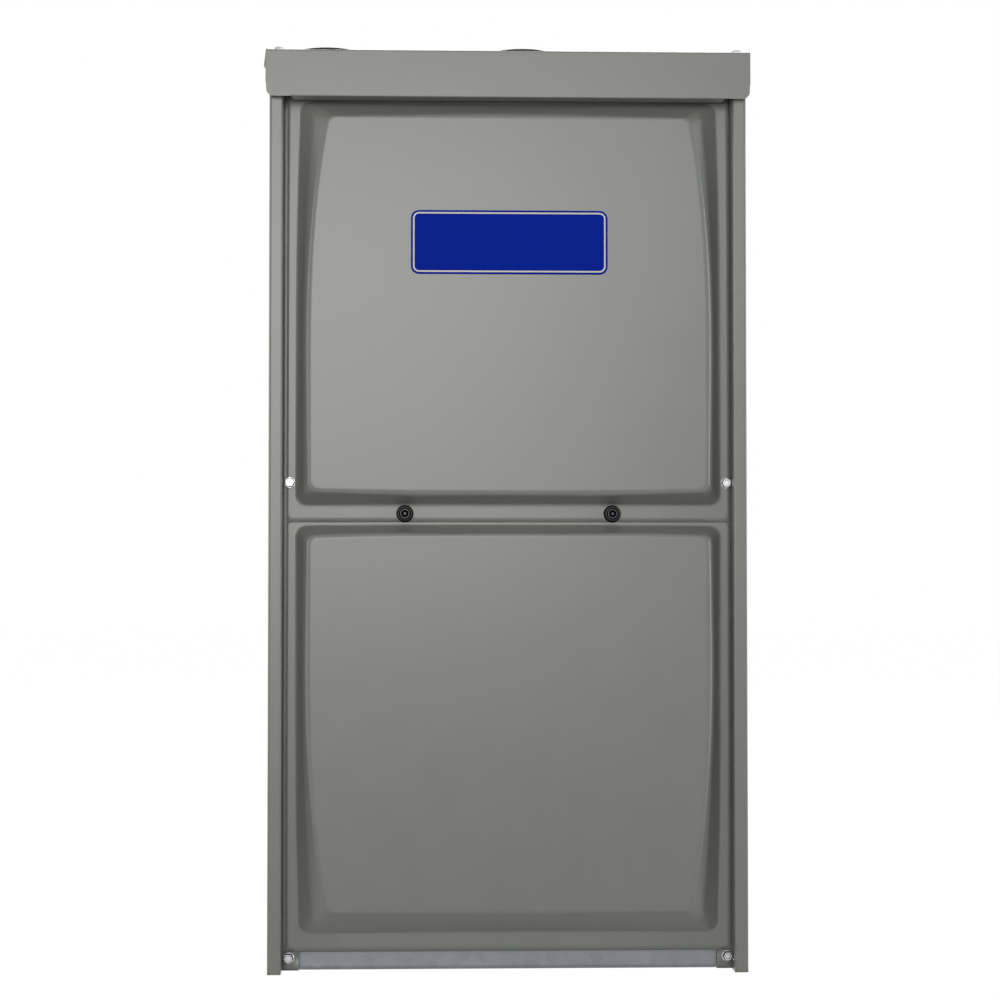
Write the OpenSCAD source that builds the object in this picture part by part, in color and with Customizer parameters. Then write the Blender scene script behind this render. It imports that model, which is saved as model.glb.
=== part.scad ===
// Forced air gas furnace: a two-pipe condensing upflow furnace in a painted sheet steel cabinet.
// X runs across the front, -Y is the front, +Z is up. The origin is on the floor under the middle.

/* [Cabinet] */
// Width over the two side walls
cabinet_w = 444.5; // [440:0.5:450]
// Depth from the face of the front rails to the back wall
cabinet_d = 717.5; // [700:0.5:735]
// Thickness of the cabinet's sheet steel
sheet = 1; // [0.8:0.1:1.2]
// Width of the face of each front rail
rail_w = 12.6; // [12:0.1:14]
// Outside radius of the cabinet's upright bends
bend_r = 1.8; // [1.5:0.1:2.5]
// Width of the inner flange that each door lies against
seat_w = 14.6; // [14:0.1:17]
// Height of the blower deck's top face, where the two doors meet
deck_h = 417; // [412:1:420]
// Height from the deck up to the top of the cap
upper_h = 437; // [431:1:453]
// Depth from the front rails back to the vestibule panel
vestibule_d = 206; // [203:1:210]

/* [Cap] */
// Height of the cap's front skirt
cap_h = 43.5; // [42:0.5:46]
// Distance the cap stands proud of the front rails
cap_proud = 9; // [8:0.5:10]
// Distance the cap stands out past the side walls and the back
cap_over = 3.1; // [2.6:0.1:3.4]
// Depth of the lip turned in under the front skirt
cap_lip = 12; // [10:0.5:13]
// Radius of the lower corners of the front skirt
cap_corner = 7; // [5:0.5:9]

/* [Duct and base] */
// Height of the flanges round the supply opening
supply_flange_h = 19; // [15:1:25]
// Distance from the side walls in to the supply opening
supply_in = 27.25; // [25:0.25:36]
// Distance from the vestibule panel back to the supply opening
supply_back = 40; // [36:1:60]
// Height of the bare rail across the foot of the front
base_rail_h = 40; // [34:1:48]
// Width of the floor flange round the return opening
floor_flange = 25; // [22:1:30]

/* [Doors] */
// Distance from the rails' face back to the doors' flat edges
door_setback = 19.5; // [18.5:0.1:20.5]
// Thickness of the door sheet
door_t = 1; // [0.8:0.1:1.2]
// Mean gap between a door and the rail beside it
door_gap = 2.4; // [2:0.1:3]
// Distance the doors sit to the right inside those gaps
door_shift = 0.8; // [0:0.1:1.2]
// Thickness of the foam seal behind the doors
seal_t = 2.6; // [2:0.1:3.5]
// Height the upper door reaches up behind the cap
door_tuck = 9.5; // [8:0.5:11]
// Gap between the two doors at the seam
seam_gap = 1.2; // [1:0.1:1.6]
// Width of the flat edge at each side of a door
door_edge = 7.6; // [7:0.1:9]
// Width of the sloping wall at each side of the raised field
side_wall = 16.4; // [14:0.1:18]
// Height of the flat band along the foot of the upper door
upper_band = 16; // [15.9:0.1:18]
// Height of the sloping wall over the upper door's field
upper_wall_top = 19.5; // [15:0.5:21]
// Height of the sloping wall under the upper door's field
upper_wall_low = 12.9; // [10:0.1:14]
// Height of the flat edge along the top of the lower door
lower_band = 1; // [0.8:0.1:3]
// Height of the sloping wall over the lower door's field
lower_wall_top = 12.4; // [8:0.1:14]
// Height of the sloping wall under the lower door's field
lower_wall_low = 23.8; // [20:0.2:26]
// Height of the lower door's foot edge above the floor
lower_edge_z = 17.8; // [17:0.1:19]
// Width of each ear at the foot of the lower door
ear_w = 12.6; // [12:0.1:15]
// Distance a field draws in at its narrow end
field_draw = 17; // [10:0.2:18]
// Distance the outer edge of a pressing draws in at its narrow end
edge_draw = 3.4; // [2:0.2:6]
// Corner radius of a pressing's outer edge
press_corner = 11; // [8:0.5:14]
// Corner radius of a field
field_corner = 8; // [6:0.5:12]
// Rise of a field's edge from its middle to its corners at the seam
field_bow = 1.8; // [1:0.2:4]

/* [Door fittings] */
// Radius of a door knob
knob_r = 8; // [7:0.1:8.1]
// Height of a door knob off the door
knob_h = 8; // [6:0.5:10]
// Distance from the middle to each knob
knob_x = 97; // [80:1:120]
// Height of the knobs' axes above the deck
knob_up = 7.4; // [7.3:0.1:7.6]
// Height of the upper door's screws above the deck
door_screw_up = 36.4; // [33:0.1:40]
// Height of the lower door's screws above the floor
ear_screw_z = 12.2; // [10:0.1:13]
// Radius of a screw's shank
screw_r = 2.1; // [1.8:0.1:2.3]
// Width of the blank name plate
plate_w = 183; // [150:1:200]
// Height of the blank name plate
plate_h = 59.6; // [45:0.2:65]
// Height of the name plate's middle above the deck
plate_up = 259.5; // [220:0.1:280]

/* [Vent and air pipes] */
// Outside radius of the vent and air pipes
pipe_r = 30.15; // [29:0.05:31]
// Wall of the vent and air pipes
pipe_wall = 4; // [3:0.1:5]
// Gap between a pipe and the socket that takes it
socket_gap = 0.15; // [0.1:0.05:0.25]
// Distance from the left side wall in to the vent's axis
vent_in = 49.25; // [48.25:0.25:50.25]
// Gap between the vent pipe and the flange of the burner box
vent_gap = 1.85; // [1:0.05:3]
// Place of the air inlet to the right of the middle
intake_x = 17; // [10:1:24]
// Distance from the rails' face back to the pipes
collar_back = 120; // [118:0.5:122]
// Height of the couplings above the cap
collar_h = 24.2; // [22:0.2:30]

/* [Heat exchanger] */
// Number of heat exchanger tubes and burners
tube_count = 4; // [2:1:4]
// Outside radius of a heat exchanger tube
tube_r = 22; // [19:0.5:23]
// Wall of a heat exchanger tube
tube_wall = 1.2; // [0.9:0.1:1.6]
// Distance from the top of the cap down to the burners
burner_down = 114; // [113:0.5:116]
// Gap between the condensing coil and the tubes over it
coil_gap = 21; // [16:0.5:30]
// Number of condensing tubes in a row
coil_columns = 8; // [5:1:8]
// Number of rows of condensing tubes
coil_rows = 3; // [2:1:3]
// Outside radius of a condensing tube
coil_r = 8; // [6:0.2:8.4]
// Number of fins on the condensing coil
fin_count = 24; // [8:1:30]
// Thickness of a fin
fin_t = 0.6; // [0.4:0.1:0.8]

/* [Gas train] */
// Outside radius of the gas manifold
manifold_r = 10.7; // [9.5:0.1:11.5]
// Radius of the hole that takes the gas pipe through the cabinet
gas_hole_r = 22; // [20:0.5:24]
// Radius of the gas valve's inlet thread
gas_port_r = 9.2; // [8:0.1:9.6]
// Radius of the electrical knock-out
knockout_r = 11.1; // [10:0.1:14]
// Turn of the gas valve's switch from off to on, in degrees
valve_turn = 90; // [60:5:90]

/* [Inducer] */
// Radius of the inducer wheel
inducer_r = 55; // [50:0.5:56]
// Depth of the inducer housing
inducer_d = 62; // [60:0.5:64]
// Height of the inducer's axis above the deck
inducer_up = 83; // [81:0.5:86]

/* [Blower] */
// Radius of the blower wheel
wheel_r = 127; // [120:0.5:130]
// Width of the blower wheel
wheel_w = 203; // [190:1:208]
// Number of blades on the blower wheel
blade_count = 40; // [20:1:44]
// Depth of a blade from its inner to its outer edge
blade_depth = 19; // [16:0.5:21]
// Width of the blower housing over its side plates
housing_w = 250; // [244:1:256]
// Radius of the housing's round inlets
inlet_r = 106; // [100:0.5:108]
// Radius of the blower motor
motor_r = 68; // [60:0.5:70]
// Radius of the motor shaft
shaft_r = 6.35; // [5:0.05:7]
// Clearance of a shaft in its bearing
bearing_gap = 0.05; // [0.03:0.01:0.08]

/* [Hidden] */
$fn = 64;
running_gap = 0.3;
slide_gap = 0.1;
eps = 0.01;
cabinet_h = deck_h + upper_h;
x_side = cabinet_w / 2;
x_in = x_side - sheet;
x_rail = x_side - rail_w;
x_seat = x_rail - seat_w;
y_front = -(cap_proud + cabinet_d + cap_over) / 2 + cap_proud;
y_back = y_front + cabinet_d;
y_back_in = y_back - sheet;
y_cap = y_front - cap_proud;
y_door = y_front + door_setback;
y_door_back = y_door + door_t;
y_seat = y_door_back + running_gap + seal_t;
y_seat_back = y_seat + sheet;
y_vest = y_front + vestibule_d;
y_vest_back = y_vest + sheet;
z_casing = cabinet_h - sheet;
z_cap = cabinet_h - cap_h;
z_deck_low = deck_h - sheet;

GREY = "#8d8d87";
BARE = "#a9adb0";
ZINC = "#c3c6c8";
BLACK = "#1d1d1f";
STAINLESS = "#b9bbbd";
BRASS = "#b08d3e";

// ---- shared shapes ----

// A block between two opposite corners
module block(low, high) {
    translate(low) cube(high - low);
}

// A round bar that starts at a point and runs towards +X, +Y or +Z
module bar_x(start, r, length) {
    translate(start) rotate([0, 90, 0]) cylinder(r = r, h = length);
}

module bar_y(start, r, length) {
    translate(start) rotate([-90, 0, 0]) cylinder(r = r, h = length);
}

module bar_z(start, r, length) {
    translate(start) cylinder(r = r, h = length);
}

// Turns a drawing so that its x runs along Y and its y along Z; it is extruded towards +X
module in_yz() {
    rotate([90, 0, 90]) children();
}

// Turns a drawing so that its x runs along X and its y along Z; it is extruded towards -Y
module in_xz() {
    rotate([90, 0, 0]) children();
}

module both_sides() {
    for (side = [0, 1]) mirror([side, 0, 0]) children();
}

// A rectangle with round corners, centred
module round_rect(size, r) {
    difference() {
        square(size, center = true);
        for (sx = [-1, 1], sy = [-1, 1]) translate([sx * (size.x / 2 - r), sy * (size.y / 2 - r)])
            difference() {
                translate([sx > 0 ? 0 : -r - 1, sy > 0 ? 0 : -r - 1]) square(r + 1);
                circle(r);
            }
    }
}

// A hex head screw with a washer face, its head towards -Y and its washer's back at the origin
module face_screw(length) {
    rotate([-90, 0, 0]) {
        translate([0, 0, -1]) cylinder(r = 5.3, h = 1);
        translate([0, 0, -4.6]) cylinder(r = 4.5, h = 4, $fn = 6);
        cylinder(r = screw_r, h = length);
    }
}

// ---- cabinet ----

// Quarter ring of sheet round an upright bend, its centre at the origin
module bend_2d() {
    intersection() {
        difference() {
            circle(bend_r);
            circle(bend_r - sheet);
        }
        square(bend_r + 1);
    }
}

// Plan of the right half of the wrap: side wall, front rail, its return and the door seat
module half_wrap_2d() {
    translate([x_side - bend_r, y_front + bend_r]) mirror([0, 1]) bend_2d();
    translate([x_side - bend_r, y_back - bend_r]) bend_2d();
    translate([x_in, y_front + bend_r]) square([sheet, cabinet_d - 2 * bend_r]);
    translate([x_rail, y_front]) square([rail_w - bend_r, sheet]);
    translate([x_rail, y_front]) square([sheet, y_seat_back - y_front]);
    translate([x_seat, y_seat]) square([seat_w + sheet, sheet]);
    translate([-eps, y_back_in]) square([x_side - bend_r + eps, sheet]);
}

gas_y = y_front + 56;
gas_z = cabinet_h - burner_down;
knockout_y = y_front + 71;
knockout_z = deck_h - 82;
drain_y = y_front + 151;
drain_z = deck_h + 24;
drain_hose_r = 11.5;
return_emboss = 3;
return_margin = 150;
return_low = 60;
return_high = 330;
return_d = cabinet_d - 2 * return_margin;

// Half the height of the slots in the rails' returns that clear the screws' washers
slot_half = 4.3;

// Shallow pressed outline on the side wall, where a side return would be cut
module return_outline() {
    translate([x_side - sheet / 2, (y_front + y_back) / 2, (return_low + return_high) / 2]) in_yz()
        linear_extrude(sheet) difference() {
            square([return_d, return_high - return_low], center = true);
            square([return_d - 2 * return_emboss, return_high - return_low - 2 * return_emboss], center = true);
        }
}

module casing_wrap() {
    color(GREY) difference() {
        linear_extrude(z_casing) union() {
            half_wrap_2d();
            mirror([1, 0]) half_wrap_2d();
        }
        both_sides() return_outline();
        bar_x([x_in - 1, gas_y, gas_z], gas_hole_r, sheet + 2);
        bar_x([x_in - 1, drain_y, drain_z], drain_hose_r + 0.5, sheet + 2);
        bar_x([-x_side - 1, knockout_y, knockout_z], knockout_r, sheet + 2);
        for (x = [-door_screw_x + door_shift, door_screw_x + door_shift]) {
            bar_y([x, y_seat - 1, deck_h + door_screw_up], screw_r + 0.9, sheet + 2);
            bar_y([x, y_seat - 1, ear_screw_z], screw_r + 0.9, sheet + 2);
        }
        both_sides() for (z = [deck_h + door_screw_up, ear_screw_z])
            block([x_rail - 1, y_door - 9, z - slot_half], [x_rail + sheet + 1, y_door + 2, z + slot_half]);
    }
}

x_cap = x_side + cap_over;
y_cap_back = y_back + cap_over;
supply_half = x_side - supply_in;
supply_y0 = y_vest + supply_back;
supply_y1 = y_back - 22;
y_collar = y_front + collar_back;
vent_x = x_side - vent_in;
collar_r = pipe_r + 3.3;
cap_screw_x = x_cap - 11.4;
cap_screw_back = 13.5;

// Outline of the front skirt with its lower corners rounded, upright from the skirt's middle
module skirt_2d() {
    round = cap_corner;
    difference() {
        translate([-x_cap, z_cap]) square([2 * x_cap, cap_h]);
        for (side = [-1, 1]) translate([side * (x_cap - round), z_cap + round]) difference() {
            translate([side > 0 ? 0 : -round - 1, -round - 1]) square(round + 1);
            circle(round);
        }
    }
}

module top_cap() {
    color(GREY) difference() {
        union() {
            block([-x_cap, y_cap, z_casing], [x_cap, y_cap_back, cabinet_h]);
            translate([0, y_cap + sheet, 0]) in_xz() linear_extrude(sheet) skirt_2d();
            both_sides() block([x_cap - sheet, y_cap, z_cap + cap_corner], [x_cap, y_cap_back, cabinet_h]);
            block([-x_cap, y_cap_back - sheet, z_cap + cap_corner], [x_cap, y_cap_back, cabinet_h]);
            translate([0, 0, z_cap]) linear_extrude(sheet) polygon([
                [-x_cap + 8, y_cap], [x_cap - 8, y_cap],
                [x_cap - 22, y_cap + cap_lip], [-x_cap + 22, y_cap + cap_lip]]);
            lap_tab();
            rotate([0, 0, 180]) lap_tab();
        }
        block([-supply_half, supply_y0, z_casing - 1], [supply_half, supply_y1, cabinet_h + 1]);
        for (x = [-vent_x, intake_x]) bar_z([x, y_collar, z_casing - 1], collar_r + slide_gap, sheet + 2);
        for (x = [-cap_screw_x, cap_screw_x], y = [y_cap + cap_screw_back, y_cap_back - cap_screw_back])
            bar_z([x, y, z_casing - 1], screw_r + slide_gap, sheet + 2);
    }
}

// Small lapped tab at the cap's corner, where the side skirt is folded over the front
module lap_tab() {
    translate([-x_cap, y_cap + 9, cabinet_h - 17.5]) in_xz() linear_extrude(9)
        polygon([[eps, 0], [-1.6, 2], [eps, 17]]);
}

module cap_screws() {
    color(ZINC) for (x = [-cap_screw_x, cap_screw_x], y = [y_cap + cap_screw_back, y_cap_back - cap_screw_back])
        translate([x, y, cabinet_h]) rotate([-90, 0, 0]) face_screw(8);
}

// One angle of the supply frame: an upright leg and a leg flat on the cap, drawn to run along +X
module supply_angle(length) {
    block([0, 0, 0], [length, sheet, supply_flange_h]);
    block([0, 0, 0], [length, 16, sheet]);
}

module supply_flanges() {
    depth = supply_y1 - supply_y0;
    color(BARE) translate([0, 0, cabinet_h]) {
        translate([-supply_half, supply_y1, 0]) supply_angle(2 * supply_half);
        translate([supply_half, supply_y0, 0]) rotate([0, 0, 180]) supply_angle(2 * supply_half);
        translate([supply_half, supply_y1, 0]) rotate([0, 0, -90]) supply_angle(depth);
        translate([-supply_half, supply_y0, 0]) rotate([0, 0, 90]) supply_angle(depth);
    }
}

// Rail across the door opening: a web between the two seats, turned back at top and foot, with tabs
// that lap behind the seats
module cross_rail(z0, z1, top_flange, low_flange) {
    half = x_seat - slide_gap;
    block([-half, y_seat, z0], [half, y_seat_back, z1]);
    block([-half, y_seat, z1 - sheet], [half, y_seat_back + top_flange, z1]);
    block([-half, y_seat, z0], [half, y_seat_back + low_flange, z0 + sheet]);
    both_sides() block([half - 10, y_seat_back, z0 + 4], [x_rail - 1, y_seat_back + sheet, z1 - 4]);
}

header_z = z_cap - 9;

module header_rail() {
    color(GREY) cross_rail(header_z, z_casing, 14, 10);
}

rail_reach = 28;
knob_z = deck_h + knob_up;
knob_stud_r = 3.6;

module middle_rail() {
    color(GREY) difference() {
        cross_rail(deck_h - rail_reach, deck_h + rail_reach, 14, 14);
        for (x = [-knob_x, knob_x]) bar_y([x + door_shift, y_seat - 1, knob_z], knob_stud_r + 2, sheet + 2);
    }
}

module base_rail() {
    color(BARE) difference() {
        cross_rail(0, base_rail_h, 17, 44);
        for (x = [-door_screw_x + door_shift, door_screw_x + door_shift])
            bar_y([x, y_seat, ear_screw_z], screw_r + 0.9, 3 * sheet);
    }
}

module base_frame() {
    y0 = y_seat_back + 45;
    high = 22;
    color(BARE) union() {
        both_sides() {
            block([x_in - floor_flange, y0, 0], [x_in, y_back_in, sheet]);
            block([x_in - sheet, y0, 0], [x_in, y_back_in, high]);
        }
        block([-x_in, y_back_in - floor_flange, 0], [x_in, y_back_in, sheet]);
        block([-x_in, y_back_in - sheet, 0], [x_in, y_back_in, high]);
    }
}

// Place of the deck's hole for the wiring between the two compartments
harness_x = 90;
harness_y = y_front + 76;

module blower_deck() {
    half = x_in - slide_gap;
    color(BARE) difference() {
        union() {
            block([-half, y_seat_back + sheet, z_deck_low], [half, y_back_in, deck_h]);
            block([-x_seat + 11, y_seat_back, z_deck_low], [x_seat - 11, y_seat_back + sheet + eps, deck_h]);
            both_sides() block([half - sheet, y_seat_back + 20, deck_h - 16], [half, y_back_in, deck_h]);
        }
        block([-housing_w / 2 + sheet, blower_y + cutoff_x + sheet, z_deck_low - 1],
            [housing_w / 2 - sheet, blower_y + scroll_r1 - sheet, deck_h + 1]);
        bar_z([harness_x, harness_y, z_deck_low - 1], 12, sheet + 2);
    }
}

module vestibule_panel() {
    half = x_in - slide_gap;
    color(BARE) difference() {
        block([-half, y_vest, deck_h], [half, y_vest_back, z_casing]);
        for (i = [0 : tube_count - 1]) bar_y([tube_x(i), y_vest - 1, tube_z1], tube_r + 0.2, sheet + 2);
        block([-coil_half + 4, y_vest - 1, coil_z0 + 4], [coil_half - 4, y_vest_back + 1, coil_z1 - 4]);
        bar_y([0, y_vest - 1, limit_z], limit_r - 2, sheet + 2);
    }
}

module side_insulation() {
    color("#c9c9c4") both_sides()
        block([x_in - 12, y_vest_back + 1, deck_h], [x_in, y_back_in - 1, z_casing - 12]);
}

// Foam strips on the rails and seats: an upright at each side of each door and a strip along each end
module door_seals() {
    strip = 5;
    inner = x_seat + 0.4;
    upper_low = deck_h + 13.4;
    upper_high = z_cap + 2.5;
    color(BLACK) translate([0, y_seat - seal_t, 0]) {
        both_sides() {
            block([inner, 0, upper_low], [inner + strip, seal_t, upper_high + strip]);
            block([inner, 0, lower_edge_z + 4], [inner + strip, seal_t, deck_h - 14]);
        }
        block([-inner + eps, 0, upper_high], [inner - eps, seal_t, upper_high + strip]);
        block([-inner + eps, 0, upper_low], [inner - eps, seal_t, upper_low + 4]);
        block([-inner + eps, 0, lower_edge_z + 4], [inner - eps, seal_t, lower_edge_z + 4 + strip]);
    }
}

// ---- pressed doors ----

door_half = x_rail - door_gap;
door_screw_x = door_half - 3;
upper_z0 = deck_h;
upper_z1 = z_cap + door_tuck;
lower_z1 = deck_h - seam_gap;
corner_steps = 5;
side_steps = 9;
edge_steps = 5;
wall_steps = 7;
wall_snap = 0.78;

// An outline is [half width, low z, high z, draw, z where it starts, z where it is full, corner radius,
// bow of the low edge, bow of the high edge]
function half_at(o, z) = o[0] - o[3] * pow(max(0, min(1, (z - o[4]) / (o[5] - o[4]))), 2.7);

// Slope of the outline's side next to its high or low corner, in degrees
function high_slope(o) = atan(half_at(o, o[2] - o[6] - 1) - half_at(o, o[2] - o[6]));
function low_slope(o) = atan(half_at(o, o[1] + o[6] + 1) - half_at(o, o[1] + o[6]));

// Right half of the outline as [x, z] points, from the middle of its foot up to the middle of its top
function right_half(o) =
    let(r = o[6], lo = o[1] + o[7], hi = o[2] - o[8], al = low_slope(o), ah = high_slope(o),
        zl = lo + r - r * sin(al), zh = hi - r + r * sin(ah),
        cxl = half_at(o, zl) - r * cos(al), cxh = half_at(o, zh) - r * cos(ah))
    concat(
        [for (i = [0 : edge_steps - 1]) let(t = i / edge_steps) [cxl * t, o[1] + o[7] * pow(t, 2.5)]],
        [for (i = [0 : corner_steps - 1]) let(a = -90 + (90 - al) * i / corner_steps)
            [cxl + r * cos(a), lo + r + r * sin(a)]],
        [for (i = [0 : side_steps]) let(z = zl + (zh - zl) * i / side_steps) [half_at(o, z), z]],
        [for (i = [1 : corner_steps]) let(a = ah + (90 - ah) * i / corner_steps)
            [cxh + r * cos(a), hi - r + r * sin(a)]],
        [for (i = [edge_steps - 1 : -1 : 1]) let(t = i / edge_steps) [cxh * t, o[2] - o[8] * pow(t, 2.5)]],
        [[0, o[2]]]);

// The whole outline, right half up and left half down
function outline(o) = let(half = right_half(o), n = len(half))
    concat(half, [for (i = [n - 2 : -1 : 1]) [-half[i].x, half[i].y]]);

// The same outline moved inwards by a distance
function inset(o, d) = [o[0] - d, o[1] + d, o[2] - d, o[3], o[4], o[5], o[6] - d / 2, o[7], o[8]];

// Place across a sloping wall and height up it, both from 0 to 1, for an S-shaped wall
function wall_s(t) = t + wall_snap * sin(360 * t) / (2 * PI);
function up(t) = t - wall_snap * sin(360 * t) / (2 * PI);

// One ring of points between the outer edge and the field, at depth y
function ring(outer, field, s, y) = [for (i = [0 : len(outer) - 1])
    [outer[i].x + (field[i].x - outer[i].x) * s, y, outer[i].y + (field[i].y - outer[i].y) * s]];

// A pressed door sheet: flat edge, sloping wall and raised field in front, and the same behind it
module pressing(edge, outer, field) {
    skin = 0.7 * door_t;
    ts = [for (i = [0 : wall_steps]) i / wall_steps];
    front = concat([[for (p = outline(edge)) [p.x, y_door, p.y]]],
        [for (t = ts) ring(outline(outer), outline(field), wall_s(t), y_door - door_setback * up(t))]);
    back = concat([[for (p = outline(edge)) [p.x, y_door_back, p.y]]],
        [for (t = ts) ring(outline(inset(outer, skin)), outline(inset(field, skin)), wall_s(t),
            y_door_back - door_setback * up(t))]);
    n = len(front[0]);
    rings = len(front);
    total = n * rings;
    middle = (field[1] + field[2]) / 2;
    points = concat([for (r = front) each r], [for (r = back) each r],
        [[0, y_door - door_setback, middle], [0, y_door_back - door_setback, middle]]);
    polyhedron(points, concat(
        [for (k = [0 : rings - 2], i = [0 : n - 1]) let(j = (i + 1) % n)
            [k * n + i, (k + 1) * n + i, (k + 1) * n + j, k * n + j]],
        [for (k = [0 : rings - 2], i = [0 : n - 1]) let(j = (i + 1) % n)
            [total + k * n + j, total + (k + 1) * n + j, total + (k + 1) * n + i, total + k * n + i]],
        [for (i = [0 : n - 1]) let(j = (i + 1) % n) [i, j, total + j, total + i]],
        [for (i = [0 : n - 1]) [(rings - 1) * n + (i + 1) % n, (rings - 1) * n + i, 2 * total]],
        [for (i = [0 : n - 1])
            [total + (rings - 1) * n + i, total + (rings - 1) * n + (i + 1) % n, 2 * total + 1]]));
}

plain_from = -1000;
press_half = door_half - door_edge;
field_half = press_half - side_wall;
upper_p0 = upper_z0 + upper_band;
upper_p1 = z_cap + 1.5;
upper_f0 = upper_p0 + upper_wall_low;
upper_f1 = upper_p1 - upper_wall_top;
upper_draw_z = upper_f1 - 235;
lower_p0 = lower_edge_z + 16.2;
lower_p1 = lower_z1 - lower_band;
lower_f0 = lower_p0 + lower_wall_low;
lower_f1 = lower_p1 - lower_wall_top;
lower_draw_z = lower_f0 + 244;

module upper_door() {
    color(GREY) translate([door_shift, 0, 0]) difference() {
        pressing([door_half, upper_z0, upper_z1, 0, plain_from, 0, 1, 0, 0],
            [press_half, upper_p0, upper_p1, edge_draw, upper_draw_z, upper_f1, press_corner, 0, 0],
            [field_half, upper_f0, upper_f1, field_draw, upper_draw_z, upper_f1, field_corner, field_bow, 0]);
        for (x = [-door_screw_x, door_screw_x])
            bar_y([x, y_door - 1, upper_z0 + door_screw_up], screw_r + slide_gap, door_t + 2);
        for (x = [-knob_x, knob_x]) bar_y([x, y_door - 1, knob_z], knob_stud_r + bearing_gap, door_t + 2);
    }
}

module lower_door() {
    ear_in = door_half - ear_w;
    color(GREY) translate([door_shift, 0, 0]) difference() {
        union() {
            pressing([door_half, lower_edge_z, lower_z1, 0, plain_from, 0, 1, 0, 0],
                [press_half, lower_p0, lower_p1, edge_draw, lower_draw_z, lower_f0, press_corner, 0, 0],
                [field_half, lower_f0, lower_f1, field_draw, lower_draw_z, lower_f0, field_corner,
                    0, field_bow]);
            both_sides() block([ear_in, y_door, 2 * running_gap], [door_half, y_door_back, lower_edge_z + 4]);
        }
        for (x = [-door_screw_x, door_screw_x])
            bar_y([x, y_door - 1, ear_screw_z], screw_r + slide_gap, door_t + 2);
    }
}

module upper_door_screws() {
    color(ZINC) for (x = [-door_screw_x, door_screw_x])
        translate([x + door_shift, y_door, upper_z0 + door_screw_up]) face_screw(14);
}

module lower_door_screws() {
    color(ZINC) for (x = [-door_screw_x, door_screw_x])
        translate([x + door_shift, y_door, ear_screw_z]) face_screw(14);
}

module name_plate() {
    color("#1a2f8c") translate([door_shift, y_front, deck_h + plate_up]) in_xz()
        linear_extrude(0.8) round_rect([plate_w, plate_h], 7.5);
}

// A quarter-turn knob: a rimmed black cap on a plain stud through the door, kept there by a ring behind it
module door_knob(x) {
    color(BLACK) translate([x + door_shift, y_door, knob_z]) rotate([90, 0, 0]) {
        difference() {
            rotate_extrude() polygon([[0, 0.05], [knob_r, 0.05], [knob_r, knob_h - 1.5],
                [knob_r - 1.5, knob_h], [0, knob_h]]);
            translate([0, 0, knob_h - 3]) difference() {
                cylinder(r = knob_r - 2, h = 4);
                cylinder(r = 4.8, h = 4);
            }
            translate([0, 0, knob_h - 2.5]) cylinder(r = 3, h = 4);
        }
        translate([0, 0, -door_t - 2.2]) cylinder(r = knob_stud_r, h = door_t + 3.2);
        translate([0, 0, -door_t - 1.3]) cylinder(r = knob_stud_r + 1.8, h = 0.9);
    }
}

// ---- vent and combustion air ----

socket_r = pipe_r + socket_gap;
socket_depth = 28;
socket_ledge = 3;

// A rubber coupling in the cap: a socket above for the outside pipe, a ledge, and a socket below
module coupling(x) {
    foot = cabinet_h + collar_h - 2 * socket_depth - socket_ledge;
    color(BLACK) translate([x, y_collar, 0]) difference() {
        rotate_extrude($fn = 96) polygon([[20, foot], [collar_r, foot], [collar_r, cabinet_h],
            [collar_r + 7, cabinet_h], [collar_r + 7, cabinet_h + 3], [collar_r, cabinet_h + 4],
            [collar_r, cabinet_h + collar_h - 2], [collar_r - 1.6, cabinet_h + collar_h],
            [20, cabinet_h + collar_h]]);
        translate([0, 0, cabinet_h + collar_h - socket_depth]) cylinder(r = socket_r, h = 100);
        translate([0, 0, foot - 1]) cylinder(r = socket_r, h = socket_depth + 1);
        translate([0, 0, foot]) cylinder(r = pipe_r - pipe_wall, h = 100);
    }
}

pipe_top = cabinet_h + collar_h - socket_depth - socket_ledge - 0.5;
inducer_y1 = y_collar + inducer_d / 2;
collector_d = y_vest - inducer_y1;
spigot_rise = 98;
spigot_top = deck_h + inducer_up + spigot_rise;

module vent_pipe() {
    low = spigot_top - 18;
    color("#4a4b4d") translate([-vent_x, y_collar, low]) difference() {
        cylinder(r = pipe_r, h = pipe_top - low);
        translate([0, 0, -1]) cylinder(r = pipe_r - pipe_wall, h = pipe_top - low + 2);
    }
}

module intake_pipe() {
    z0 = box_z1;
    color("#4a4b4d") translate([intake_x, y_collar, 0]) difference() {
        union() {
            translate([0, 0, z0]) cylinder(r = pipe_r, h = pipe_top - z0);
            translate([0, 0, z0]) cylinder(r = pipe_r + 8, h = 3);
        }
        translate([0, 0, z0 - 1]) cylinder(r = pipe_r - pipe_wall, h = pipe_top - z0 + 2);
    }
}

// ---- burners and gas train ----

// The burner box fits beside the vent pipe, and the tubes share its width
box_flange = 8;
box_margin = 6;
box_half = vent_x - pipe_r - vent_gap - box_flange;
tube_pitch = 2 * (box_half - tube_r - box_margin) / (tube_count - 1);
function tube_x(i) = (i - (tube_count - 1) / 2) * tube_pitch;
tube_z1 = cabinet_h - burner_down;
box_z0 = tube_z1 - 68;
box_z1 = tube_z1 + 60;
box_y0 = y_front + 31;
manifold_y = gas_y;
burner_y0 = manifold_y + 30;
burner_y1 = y_vest - 8;

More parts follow.
